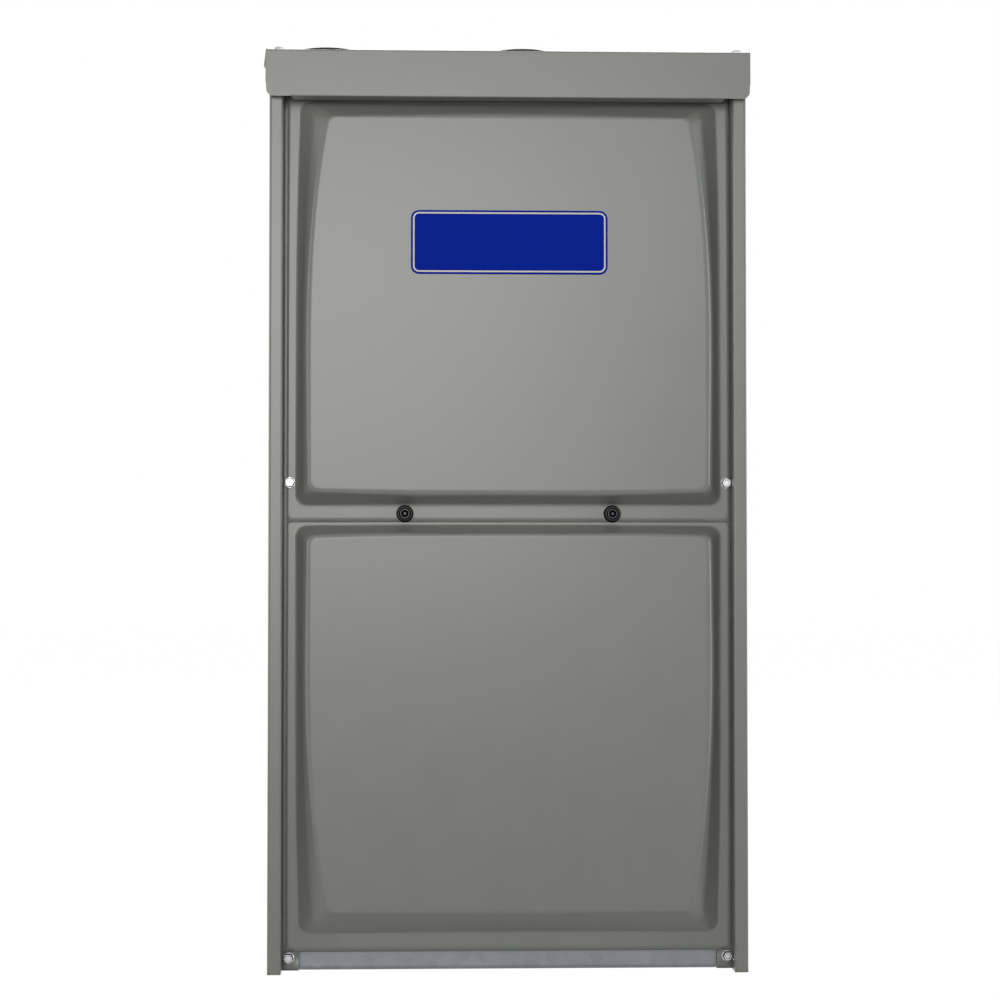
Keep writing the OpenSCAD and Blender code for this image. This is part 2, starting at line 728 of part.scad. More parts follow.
module burner_box() {
    color(BARE) difference() {
        union() {
            difference() {
                block([-box_half, box_y0 + sheet, box_z0], [box_half, y_vest, box_z1]);
                block([-box_half + sheet, box_y0, box_z0 + sheet],
                    [box_half - sheet, y_vest - sheet, box_z1 - sheet]);
            }
            both_sides() block([box_half - eps, y_vest - sheet, box_z0 + 10],
                [box_half + box_flange, y_vest, box_z1 - 10]);
        }
        for (i = [0 : tube_count - 1]) bar_y([tube_x(i), y_vest - 2 * sheet, tube_z1], tube_r + 0.2, 3 * sheet);
        bar_z([intake_x, y_collar, box_z1 - 2 * sheet], pipe_r - pipe_wall, 3 * sheet);
        bar_x([box_half - 2 * sheet, manifold_y, tube_z1], manifold_r + 0.5, 3 * sheet);
    }
}

// Front cover of the burner box, with its sight glass and four screws
module burner_box_cover() {
    color(BARE) {
        difference() {
            block([-box_half, box_y0, box_z0], [box_half, box_y0 + sheet, box_z1]);
            bar_y([0, box_y0 - 1, tube_z1], 10, sheet + 2);
            for (x = [-rollout_x, rollout_x]) bar_y([x, box_y0 - 1, rollout_z], 4, sheet + 2);
        }
        for (x = [-box_half + 8, box_half - 8], z = [box_z0 + 8, box_z1 - 8])
            translate([x, box_y0 + eps, z]) rotate([90, 0, 0]) cylinder(r = 4.2, h = 3.5, $fn = 6);
        translate([0, box_y0 + eps, tube_z1]) rotate([90, 0, 0]) rotate_extrude()
            polygon([[8, 0], [14, 0], [14, 2], [10, 4], [8, 4]]);
    }
}

// In-shot burners: each a bell mouth, a throat and a flared head, joined by a carry-over strip that stands
// on two feet on the floor of the burner box
module burners() {
    length = burner_y1 - burner_y0;
    strip = 22;
    color(STAINLESS) difference() {
        union() {
            for (i = [0 : tube_count - 1]) translate([tube_x(i), burner_y0, tube_z1]) rotate([-90, 0, 0])
                rotate_extrude() polygon([[0, 0], [17, 0], [17, 3], [12, 10], [9.5, 22], [9.5, 34], [13, 60],
                    [18, 70], [18, length], [0, length]]);
            block([tube_x(0) - 24, burner_y1 - 14, tube_z1 - strip],
                [-tube_x(0) + 24, burner_y1 - 12, tube_z1 + strip]);
            both_sides() block([tube_pitch - 7, burner_y1 - 14, box_z0 + sheet],
                [tube_pitch + 7, burner_y1 - 12, tube_z1 - strip + 1]);
        }
        for (i = [0 : tube_count - 1]) translate([tube_x(i), burner_y0, tube_z1]) rotate([-90, 0, 0])
            rotate_extrude() polygon([[0, -1], [16, -1], [16, 2.6], [11, 9.5], [8.5, 21.5], [8.5, 34.5],
                [12, 60.5], [17, 70.5], [17, length + 1], [0, length + 1]]);
        for (z = [-1, 1]) block([tube_x(0) - 25, burner_y1 - 20, tube_z1 + z * (strip + 1) - 3],
            [tube_x(0) - 16, burner_y1 - 5, tube_z1 + z * (strip + 1) + 3]);
    }
}

valve_x0 = box_half + 10;
valve_x1 = x_in - 21;
orifice_r = 3.9;

module gas_manifold() {
    left = tube_x(0) - 14;
    bore = manifold_r - 2.7;
    color("#33353a") difference() {
        union() {
            bar_x([left, manifold_y, tube_z1], manifold_r, valve_x0 + 12 - left);
            bar_x([left - 6, manifold_y, tube_z1], manifold_r + 2, 10);
        }
        bar_x([left + 2, manifold_y, tube_z1], bore, valve_x0 + 14 - left);
        for (i = [0 : tube_count - 1]) bar_y([tube_x(i), manifold_y, tube_z1], orifice_r, 20);
    }
}

module gas_orifices() {
    color(BRASS) for (i = [0 : tube_count - 1]) translate([tube_x(i), manifold_y + manifold_r, tube_z1])
        rotate([-90, 0, 0]) difference() {
            union() {
                translate([0, 0, 0.2]) cylinder(r = 6.4, h = 7, $fn = 6);
                translate([0, 0, 7]) cylinder(r1 = 5, r2 = 3, h = 4);
                translate([0, 0, -2.5]) cylinder(r = orifice_r - 0.05, h = 4);
            }
            translate([0, 0, -3]) cylinder(r = 2, h = 12);
            cylinder(r = 0.7, h = 20);
        }
}

valve_switch_x = (valve_x0 + valve_x1) / 2 - 4;
valve_switch_z = tube_z1 + 24;
valve_y0 = manifold_y - 25;
valve_y1 = manifold_y + 27;

// Gas valve: a cast body between inlet and outlet bosses, two coil housings and a regulator cap
module gas_valve() {
    mid = (valve_x0 + valve_x1) / 2;
    color("#9ea1a4") difference() {
        union() {
            translate([mid, valve_y1, tube_z1 + 2]) in_xz() linear_extrude(valve_y1 - valve_y0)
                round_rect([valve_x1 - valve_x0 - 12, 84], 7);
            bar_x([valve_x0, manifold_y, tube_z1], 17, 10);
            bar_x([valve_x1 - 10, manifold_y, tube_z1], 17, 10);
            for (y = [manifold_y - 10, manifold_y + 14]) bar_z([mid, y, tube_z1 + 40], 10.5, 22);
            bar_y([mid, valve_y0 - 6, tube_z1 - 22], 9, 10);
        }
        bar_x([valve_x0 - 1, manifold_y, tube_z1], manifold_r + 0.1, 14);
        bar_x([valve_x1 - 15, manifold_y, tube_z1], gas_port_r, 16);
        bar_y([valve_switch_x, valve_y0 - 1, valve_switch_z], 3 + bearing_gap, 15);
    }
}

module gas_valve_switch() {
    color("#b0302a") translate([valve_switch_x, valve_y0 - running_gap, valve_switch_z]) rotate([90, 0, 0]) {
        difference() {
            cylinder(r = 12, h = 4);
            for (a = [45 : 90 : 315]) rotate([0, 0, a]) translate([13.4, 0, -1]) cylinder(r = 3, h = 7);
        }
        block([-2.5, -11, 3], [2.5, 11, 10]);
        translate([0, 0, -12]) cylinder(r = 3, h = 13);
    }
}

module gas_grommet() {
    color(BLACK) translate([x_in + sheet / 2, gas_y, gas_z]) rotate([0, 90, 0]) rotate_extrude()
        polygon([[13, -2.6], [gas_hole_r + 4, -2.6], [gas_hole_r + 4, -sheet / 2 - 0.02],
            [gas_hole_r - 0.1, -sheet / 2 - 0.02], [gas_hole_r - 0.1, sheet / 2 + 0.02],
            [gas_hole_r + 4, sheet / 2 + 0.02], [gas_hole_r + 4, 2.6], [13, 2.6]]);
}

igniter_x = tube_pitch;
probe_y = y_vest - 10;

module igniter() {
    color("#d9d4c8") translate([igniter_x, probe_y, box_z0 + sheet]) {
        block([-12, -7, 0], [12, 7, 4]);
        block([-7, -5, 0], [7, 5, 34]);
        block([-3, -1, 30], [3, 1, 62]);
    }
}

module flame_sensor() {
    color("#e4e1d8") translate([-igniter_x, probe_y, box_z0 + sheet]) {
        block([-8, -7, 0], [8, 7, 3]);
        bar_z([0, 0, 0], 4.5, 32);
        bar_z([0, 0, 30], 1.2, 30);
    }
}

rollout_x = box_half - 24;
rollout_z = box_z0 + 34;
button_r = 2.6;
rollout_front = box_y0 - 13;

module rollout_switches() {
    color("#2b2b2d") for (x = [-rollout_x, rollout_x]) translate([x, box_y0, rollout_z]) rotate([90, 0, 0])
        difference() {
            union() {
                translate([-15, -7, 0]) cube([30, 14, 1.2]);
                cylinder(r = 10, h = 11);
                cylinder(r = 5, h = 13);
                for (s = [-1, 1]) translate([s * 7 - 0.4, -3, 10]) cube([0.8, 6, 9]);
                translate([0, 0, -3]) cylinder(r = 3.8, h = 4);
            }
            translate([0, 0, 6]) cylinder(r = button_r + bearing_gap, h = 10);
        }
}

module reset_button(x) {
    color("#c22a22") bar_y([x, rollout_front - 2.5, rollout_z], button_r, 7);
}

// ---- heat exchanger ----

coil_half = 155;
coil_z0 = deck_h + 21;
coil_z1 = coil_z0 + 94;
header_y0 = y_back - 79;
header_y1 = y_back - 26;

// The tubes turn twice between the burners' height and the coil: the rear bend has 6 parts in 11
tube_z3 = coil_z1 + coil_gap + tube_r;
both_bends = (tube_z1 - tube_z3) / 2;
rear_bend = both_bends * 6 / 11;
front_bend = both_bends * 5 / 11;
rear_reach = 14;
front_gap = 2.5;
tube_z2 = tube_z1 - 2 * rear_bend;
tube_turn_rear = header_y0 + rear_reach - rear_bend - tube_r;
tube_turn_front = y_vest + front_gap + front_bend + tube_r;

// One serpentine tube as a solid of one radius: back, down round a bend, forward, down, and back again
module serpentine(r, extra) {
    in_yz() {
        translate([y_vest - 2 - extra, tube_z1, 0]) rotate([0, 90, 0])
            cylinder(r = r, h = tube_turn_rear - y_vest + 2 + extra);
        translate([tube_turn_rear, tube_z1 - rear_bend, 0]) rotate([0, 0, -90])
            rotate_extrude(angle = 180) translate([rear_bend, 0]) circle(r);
        translate([tube_turn_front, tube_z2, 0]) rotate([0, 90, 0])
            cylinder(r = r, h = tube_turn_rear - tube_turn_front);
        translate([tube_turn_front, tube_z2 - front_bend, 0]) rotate([0, 0, 90])
            rotate_extrude(angle = 180) translate([front_bend, 0]) circle(r);
        translate([tube_turn_front, tube_z3, 0]) rotate([0, 90, 0])
            cylinder(r = r, h = header_y0 + 4 - tube_turn_front + extra);
    }
}

module primary_heat_exchanger() {
    color("#8f8a84") for (i = [0 : tube_count - 1]) translate([tube_x(i), 0, 0]) difference() {
        serpentine(tube_r, 0);
        serpentine(tube_r - tube_wall, 1);
    }
}

coil_pitch_x = 2 * (coil_half - 22) / (coil_columns - 1);
coil_pitch_z = 28;

// Places of the condensing tubes, [x, z], every second row set over by half a pitch
coil_places = [for (row = [0 : coil_rows - 1], column = [0 : coil_columns - 1 - row % 2])
    [-coil_half + 22 + (column + (row % 2) / 2) * coil_pitch_x,
        (coil_z0 + coil_z1) / 2 + (row - (coil_rows - 1) / 2) * coil_pitch_z]];

// A plate across the coil with a hole for each tube, its front face at y
module coil_plate(y, thickness) {
    translate([0, y + thickness, 0]) in_xz() linear_extrude(thickness) difference() {
        translate([-coil_half, coil_z0]) square([2 * coil_half, coil_z1 - coil_z0]);
        for (p = coil_places) translate(p) circle(coil_r + slide_gap);
    }
}

module coil_fins() {
    first = y_vest_back + 16;
    last = header_y0 - 16;
    color("#c4c8ca") {
        coil_plate(y_vest_back, 2);
        coil_plate(header_y0 - 2, 2);
        for (i = [0 : fin_count - 1]) coil_plate(first + (last - first) * i / (fin_count - 1), fin_t);
    }
}

module coil_tubes() {
    color(STAINLESS) for (p = coil_places) difference() {
        bar_y([p.x, y_vest - 3, p.y], coil_r, header_y0 + 9 - y_vest);
        bar_y([p.x, y_vest - 4, p.y], coil_r - 0.8, header_y0 + 12 - y_vest);
    }
}

// Rear header: a flanged steel box that turns the gas from the primary tubes down into the coil
module rear_header() {
    half = coil_half + 6;
    top = tube_z3 + tube_r + 5;
    color(BARE) difference() {
        union() {
            block([-half, header_y0, deck_h], [half, header_y1, top]);
            block([-half - 8, header_y0, deck_h], [half + 8, header_y0 + 2, top]);
        }
        block([-half + sheet, header_y0 + 2, coil_z0 - 4], [half - sheet, header_y1 - sheet, top - sheet]);
        block([-coil_half + 4, header_y0 - 1, coil_z0 + 4], [coil_half - 4, header_y0 + 3, coil_z1 - 4]);
        for (i = [0 : tube_count - 1]) bar_y([tube_x(i), header_y0 - 1, tube_z3], tube_r + 0.2, 4);
    }
}

collector_wall = 3;
inducer_x = -vent_x + pipe_r + 20;
inducer_z = deck_h + inducer_up;
hose_x = 20;
switch_x = 120;

// Moulded box over the coil's front end: ribs outside, an outlet to the inducer, a hose spigot and a drain
module collector_box() {
    y0 = y_vest - collector_d;
    color(BLACK) difference() {
        union() {
            block([-coil_half, y0 + 6, coil_z0], [coil_half, y_vest, coil_z1]);
            block([-coil_half - 7, y_vest - 4, coil_z0 - 7], [coil_half + 7, y_vest, coil_z1 + 5]);
            for (x = [10 : 28 : 122]) block([x, y0 + 2, coil_z0], [x + 2.5, y_vest, coil_z1]);
            bar_y([inducer_x, y0, inducer_z], 36, 10);
            bar_z([hose_x, y_vest - 28, coil_z1 - 1], 2.5, 9);
            bar_x([coil_half - 1, drain_y, drain_z], 8, 9);
        }
        block([-coil_half + collector_wall, y0 + 6 + collector_wall, coil_z0 + collector_wall],
            [coil_half - collector_wall, y_vest + 1, coil_z1 - collector_wall]);
        bar_y([inducer_x, y0 - 1, inducer_z], 30, 20);
        bar_z([hose_x, y_vest - 28, coil_z1 - 6], 1.4, 20);
        bar_x([coil_half - 6, drain_y, drain_z], 6, 20);
    }
}

limit_z = (tube_z2 + tube_z3) / 2;
limit_r = 13;

module limit_switch() {
    color("#d8d2c4") {
        bar_y([0, y_vest - 10, limit_z], limit_r - 3, 10);
        block([-19, y_vest - 1.5, limit_z - 8], [19, y_vest, limit_z + 8]);
        bar_y([0, y_vest - 1, limit_z], limit_r - 4, 6);
        bar_y([0, y_vest, limit_z], 3, 46);
        for (x = [-5.4, 4.6]) block([x, y_vest - 19, limit_z - 3], [x + 0.8, y_vest - 9, limit_z + 3]);
    }
}

// ---- inducer ----

// Spiral points from the cut-off angle round to the right-hand side, its radius growing at a steady rate
function spiral(r0, r1, a0, less) = [for (i = [0 : 36]) let(a = a0 + (360 - a0) * i / 36)
    (r0 + (r1 - r0) * i / 36 - less) * [cos(a), sin(a)]];

// Outline of a scroll with its outlet straight up on its right; less moves it inwards by a wall
function scroll(r0, r1, a0, top, less) = concat([[r0 * cos(a0) + less, top]],
    spiral(r0, r1, a0, less), [[r1 - less, top]]);

inducer_scroll0 = inducer_r + 5;
inducer_scroll1 = 2 * pipe_r + 20;
inducer_cut = acos(20 / inducer_scroll0);

module inducer_housing() {
    top = 62;
    wall = 2.5;
    spigot_x = -vent_x - inducer_x;
    color(BLACK) translate([inducer_x, inducer_y1, inducer_z]) difference() {
        union() {
            in_xz() linear_extrude(inducer_d) mirror([1, 0])
                polygon(scroll(inducer_scroll0, inducer_scroll1, inducer_cut, top, 0));
            translate([spigot_x, -inducer_d / 2, top - 4])
                cylinder(r = pipe_r - pipe_wall - 0.2, h = spigot_top - inducer_z - top + 4);
            for (a = [20 : 100 : 320]) in_xz() rotate([0, 0, a]) translate([inducer_scroll0 + 8, 0, 0])
                cylinder(r = 6, h = 8);
        }
        translate([0, -wall, 0]) in_xz() linear_extrude(inducer_d - 2 * wall) mirror([1, 0])
            polygon(scroll(inducer_scroll0, inducer_scroll1, inducer_cut, top - wall, wall));
        translate([0, 1, 0]) in_xz() cylinder(r = 30, h = wall + 2);
        translate([0, -inducer_d + wall + 1, 0]) in_xz() cylinder(r = 8, h = wall + 2);
        translate([spigot_x, -inducer_d / 2, top - 10]) cylinder(r = pipe_r - pipe_wall - 3.2, h = 60);
    }
}

inducer_shaft_r = 4;
inducer_y0 = inducer_y1 - inducer_d;

// Inducer wheel: a back disc with twelve straight vanes and a hub, on its shaft
module inducer_wheel() {
    depth = 30;
    disc_y = inducer_y0 + 10;
    color("#3a3b3f") translate([inducer_x, disc_y, inducer_z]) rotate([-90, 0, 0]) {
        difference() {
            union() {
                cylinder(r = inducer_r, h = 1.6);
                cylinder(r = 9, h = 20);
                for (a = [0 : 30 : 330]) rotate([0, 0, a]) translate([16, -0.7, 1])
                    cube([inducer_r - 17, 1.4, depth]);
            }
            translate([0, 0, -1]) cylinder(r = inducer_shaft_r, h = depth);
        }
    }
    color(STAINLESS) bar_y([inducer_x, inducer_y0 - 34, inducer_z], inducer_shaft_r, 58);
}

// Inducer motor: round frame on a three-legged plate, with cooling slots in its end cap
module inducer_motor() {
    back = inducer_y0 - 12;
    length = 56;
    color("#55575b") translate([inducer_x, back, inducer_z]) in_xz() difference() {
        union() {
            cylinder(r = 42, h = length);
            translate([0, 0, length - 1]) cylinder(r = 34, h = 5);
            for (a = [30 : 120 : 270]) rotate([0, 0, a]) {
                translate([38, -6, 0]) cube([16, 12, 3]);
                translate([48, 0, -12]) cylinder(r = 4, h = 13);
            }
        }
        translate([0, 0, -1]) cylinder(r = inducer_shaft_r + bearing_gap, h = 30);
        for (a = [0 : 45 : 315]) rotate([0, 0, a]) translate([14, -3, length - 2]) cube([14, 6, 10]);
    }
}

switch_z = (coil_z1 + box_z0) / 2 + 6;
switch_r = 36;

module pressure_switch() {
    y1 = y_vest - 16;
    color("#2e3033") translate([switch_x, 0, switch_z]) {
        bar_y([0, y1 - 22, 0], switch_r, 10);
        bar_y([0, y1 - 13, 0], switch_r + 2, 3);
        bar_y([0, y1 - 11, 0], switch_r - 2, 11);
        block([-20, y1 - 1, -30], [20, y1 + 1, 46]);
        block([-20, y1, 44], [20, y_vest, 46]);
        for (x = [-7, 7]) block([x - 0.4, y1 - 34, 4], [x + 0.4, y1 - 20, 10]);
        bar_z([0, y_vest - 28, -switch_r - 9], 2.5, 14);
    }
}

hose_r = 4.5;
hose_bend = 12;

// Hose path as a solid of one radius, in the plane of the two spigots
module hose_path(r, extra) {
    top = switch_z - switch_r - 2.5;
    level = coil_z1 + 20;
    translate([0, y_vest - 28, 0]) {
        bar_z([switch_x, 0, level + hose_bend], r, top - level - hose_bend + extra);
        translate([switch_x - hose_bend, 0, level + hose_bend]) in_xz() rotate([0, 0, -90])
            rotate_extrude(angle = 90) translate([hose_bend, 0]) circle(r);
        bar_x([hose_x + hose_bend, 0, level], r, switch_x - hose_x - 2 * hose_bend);
        translate([hose_x + hose_bend, 0, level - hose_bend]) in_xz() rotate([0, 0, 90])
            rotate_extrude(angle = 90) translate([hose_bend, 0]) circle(r);
        bar_z([hose_x, 0, coil_z1 + 0.5 - extra], r, level - hose_bend - coil_z1 - 0.5 + extra);
    }
}

module pressure_hose() {
    color(BLACK) difference() {
        hose_path(hose_r, 0);
        hose_path(2.55, 1);
    }
}

trap_x0 = coil_half + 5;
trap_x1 = x_in - 13;

// Condensate trap: two chambers side by side with a weir between, an inlet from the collector and an outlet
module condensate_trap() {
    color(BLACK) difference() {
        union() {
            block([trap_x0, drain_y - 22, deck_h], [trap_x1, drain_y + 22, drain_z + 16]);
            block([trap_x0 + 4, drain_y - 16, drain_z + 15], [trap_x1 - 4, drain_y + 16, drain_z + 48]);
            bar_z([(trap_x0 + trap_x1) / 2, drain_y, drain_z + 47], 7, 9);
            bar_x([trap_x1 - 1, drain_y, drain_z], 8.9, 8);
        }
        bar_x([trap_x0 - 1, drain_y, drain_z], 8.1, 16);
        bar_x([trap_x1 - 12, drain_y, drain_z], 6.5, 20);
    }
}

module drain_hose() {
    color("#e6e6e2") difference() {
        bar_x([trap_x1 + 0.5, drain_y, drain_z], drain_hose_r, x_side + 1.5 - trap_x1);
        bar_x([trap_x1, drain_y, drain_z], 9, x_side + 3 - trap_x1);
    }
}

// ---- blower ----

scroll_r0 = wheel_r + 10;
scroll_r1 = wheel_r + 73;
cutoff_angle = 75;
cutoff_x = scroll_r0 * cos(cutoff_angle);
blower_y = y_back - scroll_r1 - 101;
blower_z = z_deck_low - scroll_r0 - 16;
scroll_top = z_deck_low - blower_z;

// Side plate of the blower housing with its round inlet and rolled inlet ring, its outer face at x
module housing_side(inner_x) {
    translate([inner_x, blower_y, blower_z]) in_yz() difference() {
        union() {
            linear_extrude(sheet) polygon(scroll(scroll_r0, scroll_r1, cutoff_angle, scroll_top, 0));
            translate([0, 0, -9]) cylinder(r = inlet_r + 3, h = 9.5, $fn = 96);
        }
        translate([0, 0, -10]) cylinder(r = inlet_r, h = 20, $fn = 96);
    }
}

module blower_housing() {
    half = housing_w / 2;
    color(BARE) union() {
        translate([-half, blower_y, blower_z]) in_yz() linear_extrude(housing_w) difference() {
            polygon(scroll(scroll_r0, scroll_r1, cutoff_angle, scroll_top, 0));
            polygon(scroll(scroll_r0, scroll_r1, cutoff_angle, scroll_top + 1, sheet));
        }
        housing_side(half - sheet);
        mirror([1, 0, 0]) housing_side(half - sheet);
    }
}

blade_out = wheel_r - 0.6;
blade_in = wheel_r - blade_depth;
hub_x0 = -28;
motor_x0 = 20;

// One forward-curved blade as a thin curved strip, drawn across the wheel's axis
module blade_2d() {
    steps = 4;
    thick = 0.9;
    lean = 11;
    function place(k, off) = let(t = k / steps, r = blade_in + (blade_out - blade_in) * t, a = lean * t * t)
        [r * cos(a) - off * sin(a), r * sin(a) + off * cos(a)];
    polygon(concat([for (k = [0 : steps]) place(k, 0)], [for (k = [steps : -1 : 0]) place(k, thick)]));
}

// Blower wheel: blades between two end rings and a centre disc on a hub
module blower_wheel() {
    ring_w = 6;
    color(BARE) translate([0, blower_y, blower_z]) in_yz() difference() {
        union() {
            translate([0, 0, -wheel_w / 2]) linear_extrude(wheel_w)
                for (i = [0 : blade_count - 1]) rotate([0, 0, i * 360 / blade_count]) blade_2d();
            for (z = [-wheel_w / 2, wheel_w / 2 - ring_w]) translate([0, 0, z]) difference() {
                cylinder(r = wheel_r, h = ring_w, $fn = 96);
                translate([0, 0, -1]) cylinder(r = wheel_r - 5, h = ring_w + 2, $fn = 96);
            }
            translate([0, 0, -9]) cylinder(r = wheel_r, h = 1.5, $fn = 96);
            translate([0, 0, hub_x0]) cylinder(r = 16, h = 40);
        }
        translate([0, 0, hub_x0 - 1]) cylinder(r = shaft_r, h = 50);
    }
    color(STAINLESS) bar_x([hub_x0 - 6, blower_y, blower_z], shaft_r, motor_x0 + 40 - hub_x0);
}

motor_x1 = housing_w / 2 + 6;

module blower_motor() {
    color("#4b4d50") translate([0, blower_y, blower_z]) in_yz() difference() {
        union() {
            translate([0, 0, motor_x0]) cylinder(r = motor_r - 3, h = 4);
            translate([0, 0, motor_x0 + 4]) cylinder(r = motor_r, h = motor_x1 - motor_x0 - 8);
            translate([0, 0, motor_x1 - 4]) cylinder(r = motor_r - 3, h = 4);
            translate([0, 0, motor_x1]) cylinder(r = 14, h = 5);
        }
        translate([0, 0, motor_x0 - 1]) cylinder(r = shaft_r + bearing_gap, h = 44);
        for (a = [0 : 30 : 330]) rotate([0, 0, a]) translate([30, -3, motor_x1 - 6]) cube([22, 6, 8]);
    }
}

// Belly band round the motor with three arms that reach out over the inlet to the side plate
module motor_mount() {
    half = housing_w / 2;
    color(ZINC) translate([0, blower_y, blower_z]) in_yz() difference() {
        union() {
            translate([0, 0, half - 48]) cylinder(r = motor_r + 2, h = 30);
            for (a = [90 : 120 : 330]) rotate([0, 0, a]) {
                translate([motor_r, -9, half - 40]) cube([5, 18, 44]);
                translate([motor_r, -9, half]) cube([inlet_r + 18 - motor_r, 18, 4]);
            }
        }
        translate([0, 0, half - 50]) cylinder(r = motor_r + slide_gap, h = 60);
    }
}

module run_capacitor() {
    r = 22;
    y = y_vest + 20;
    z = z_deck_low - r - 1.5;
    color("#b9bcbe") {
        bar_x([-50, y, z], r, 75);
        bar_x([25, y, z], r - 3, 5);
        difference() {
            union() {
                bar_x([-20, y, z], r + 1.5, 14);
                block([-20, y - 38, z_deck_low - 1.5], [-6, y + 38, z_deck_low]);
            }
            bar_x([-21, y, z], r - 1, 16);
        }
        for (s = [-8, 8]) block([29, y + s - 0.4, z - 3], [38, y + s + 0.4, z + 3]);
    }
}

// ---- controls ----

bracket_y = y_front + 88;
bracket_x0 = -60;
bracket_x1 = 160;
bracket_z = deck_h - 177;
board_x0 = 10;
board_x1 = 150;
board_z0 = deck_h - 155;
board_z1 = deck_h - 35;
board_y = bracket_y - 8;

module control_bracket() {
    color(BARE) {
        block([bracket_x0, bracket_y, bracket_z], [bracket_x1, bracket_y + sheet, z_deck_low]);
        block([bracket_x0, bracket_y, z_deck_low - sheet], [bracket_x1, bracket_y + 26, z_deck_low]);
        block([bracket_x0, bracket_y, bracket_z], [bracket_x1, bracket_y + 14, bracket_z + sheet]);
        for (x = [board_x0 + 8, board_x1 - 8], z = [board_z0 + 8, board_z1 - 8])
            bar_y([x, board_y, z], 3, bracket_y - board_y + eps);
    }
}

// Control board with its relays, terminal strips, fuse, connectors and spade row
module control_board() {
    z = board_z0;
    x = board_x0;
    y = board_y - 1.6;
    color("#2f6b46") {
        block([x, y, z], [board_x1, board_y, board_z1]);
        for (i = [0 : 2]) block([x + 12 + i * 22, y - 16, z + 66], [x + 28 + i * 22, y + eps, z + 88]);
        block([x + 90, y - 12, z + 60], [x + 128, y + eps, z + 84]);
        for (i = [0 : 5]) block([x + 10 + i * 9, y - 10, z + 6], [x + 17 + i * 9, y + eps, z + 18]);
        for (i = [0 : 8]) block([x + 12 + i * 8, y - 9, z + 104], [x + 12.8 + i * 8, y + eps, z + 110]);
        block([x + 92, y - 9, z + 98], [x + 128, y + eps, z + 112]);
        block([x + 76, y - 8, z + 8], [x + 96, y + eps, z + 13]);
        block([x + 104, y - 14, z + 8], [x + 130, y + eps, z + 40]);
        for (i = [0 : 2]) bar_y([x + 22 + i * 22, y - 12, z + 42], 6, 12 + eps);
    }
}

module transformer() {
    x = -30;
    z = deck_h - 100;
    color("#6b6f73") {
        difference() {
            block([x - 27, bracket_y - 30, z - 22], [x + 27, bracket_y - 8, z + 22]);
            for (s = [-1, 1]) block([x + s * 14 - 5, bracket_y - 31, z - 13],
                [x + s * 14 + 5, bracket_y - 7, z + 13]);
        }
        block([x - 8, bracket_y - 38, z - 12.5], [x + 8, bracket_y - 2, z + 12.5]);
        for (s = [-1, 1]) block([x + s * 23 - 4, bracket_y - 9, z - 30], [x + s * 23 + 4, bracket_y, z + 30]);
    }
}

// Junction box on the left wall, behind the electrical knock-out, with its cover screwed on in front
module junction_box() {
    x0 = -x_in;
    low = [x0, knockout_y - 30, knockout_z - 38];
    high = [x0 + 62, knockout_y + 34, knockout_z + 38];
    color(BARE) {
        difference() {
            block(low, high);
            block(low + [sheet, -1, sheet], high - [sheet, sheet, sheet]);
            bar_x([x0 - 1, knockout_y, knockout_z], knockout_r, 4);
        }
        block([low.x, low.y - sheet, low.z - 5], [high.x + 3, low.y, high.z + 5]);
        for (z = [low.z + 6, high.z - 6]) translate([high.x - 8, low.y - sheet + eps, z]) rotate([90, 0, 0])
            cylinder(r = 3.4, h = 3, $fn = 6);
    }
}

switch_half = 10;
door_switch_x = 150;
door_switch_z1 = deck_h - rail_reach;
plunger_z = door_switch_z1 - 12;
plunger_r = 3.5;
plunger_tip = y_front + door_t + 5 * running_gap;

module door_switch() {
    color(BLACK) difference() {
        union() {
            block([door_switch_x - switch_half, y_seat, door_switch_z1 - 24],
                [door_switch_x + switch_half, y_seat + 30, door_switch_z1]);
            bar_y([door_switch_x, y_seat - 5, plunger_z], 6, 6);
            for (s = [-5, 5]) block([door_switch_x + s - 0.4, y_seat + 29, plunger_z - 3],
                [door_switch_x + s + 0.4, y_seat + 38, plunger_z + 3]);
        }
        bar_y([door_switch_x, y_seat - 6, plunger_z], plunger_r + bearing_gap, 26);
    }
}

module door_switch_plunger() {
    color("#b8b8b2") bar_y([door_switch_x, plunger_tip, plunger_z], plunger_r, y_seat + 12 - plunger_tip);
}

casing_wrap();
top_cap();
cap_screws();
supply_flanges();
header_rail();
middle_rail();
base_rail();
base_frame();
blower_deck();
vestibule_panel();
side_insulation();
door_seals();
upper_door();
upper_door_screws();
name_plate();
door_knob(-knob_x);  // door_knob_left
door_knob(knob_x);  // door_knob_right
lower_door();
lower_door_screws();
coupling(-vent_x);  // vent_coupling
coupling(intake_x);  // intake_coupling
vent_pipe();
intake_pipe();
burner_box();
burner_box_cover();
burners();
gas_manifold();
gas_orifices();
gas_valve();
gas_valve_switch();
gas_grommet();
igniter();
flame_sensor();
rollout_switches();
reset_button(-rollout_x);  // reset_button_left
reset_button(rollout_x);  // reset_button_right
primary_heat_exchanger();
rear_header();
coil_tubes();
coil_fins();
collector_box();
limit_switch();
inducer_housing();
inducer_wheel();
inducer_motor();
pressure_switch();
pressure_hose();
condensate_trap();
drain_hose();
blower_housing();
blower_wheel();
blower_motor();
motor_mount();
run_capacitor();
control_bracket();
control_board();
transformer();
junction_box();
door_switch();
door_switch_plunger();
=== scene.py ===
from collections import namedtuple
from math import atan, cos, dist, pi, radians, sin

import bmesh
import bpy
from bmesh.types import BMEdge, BMFace, BMVert
from mathutils import Matrix, Vector


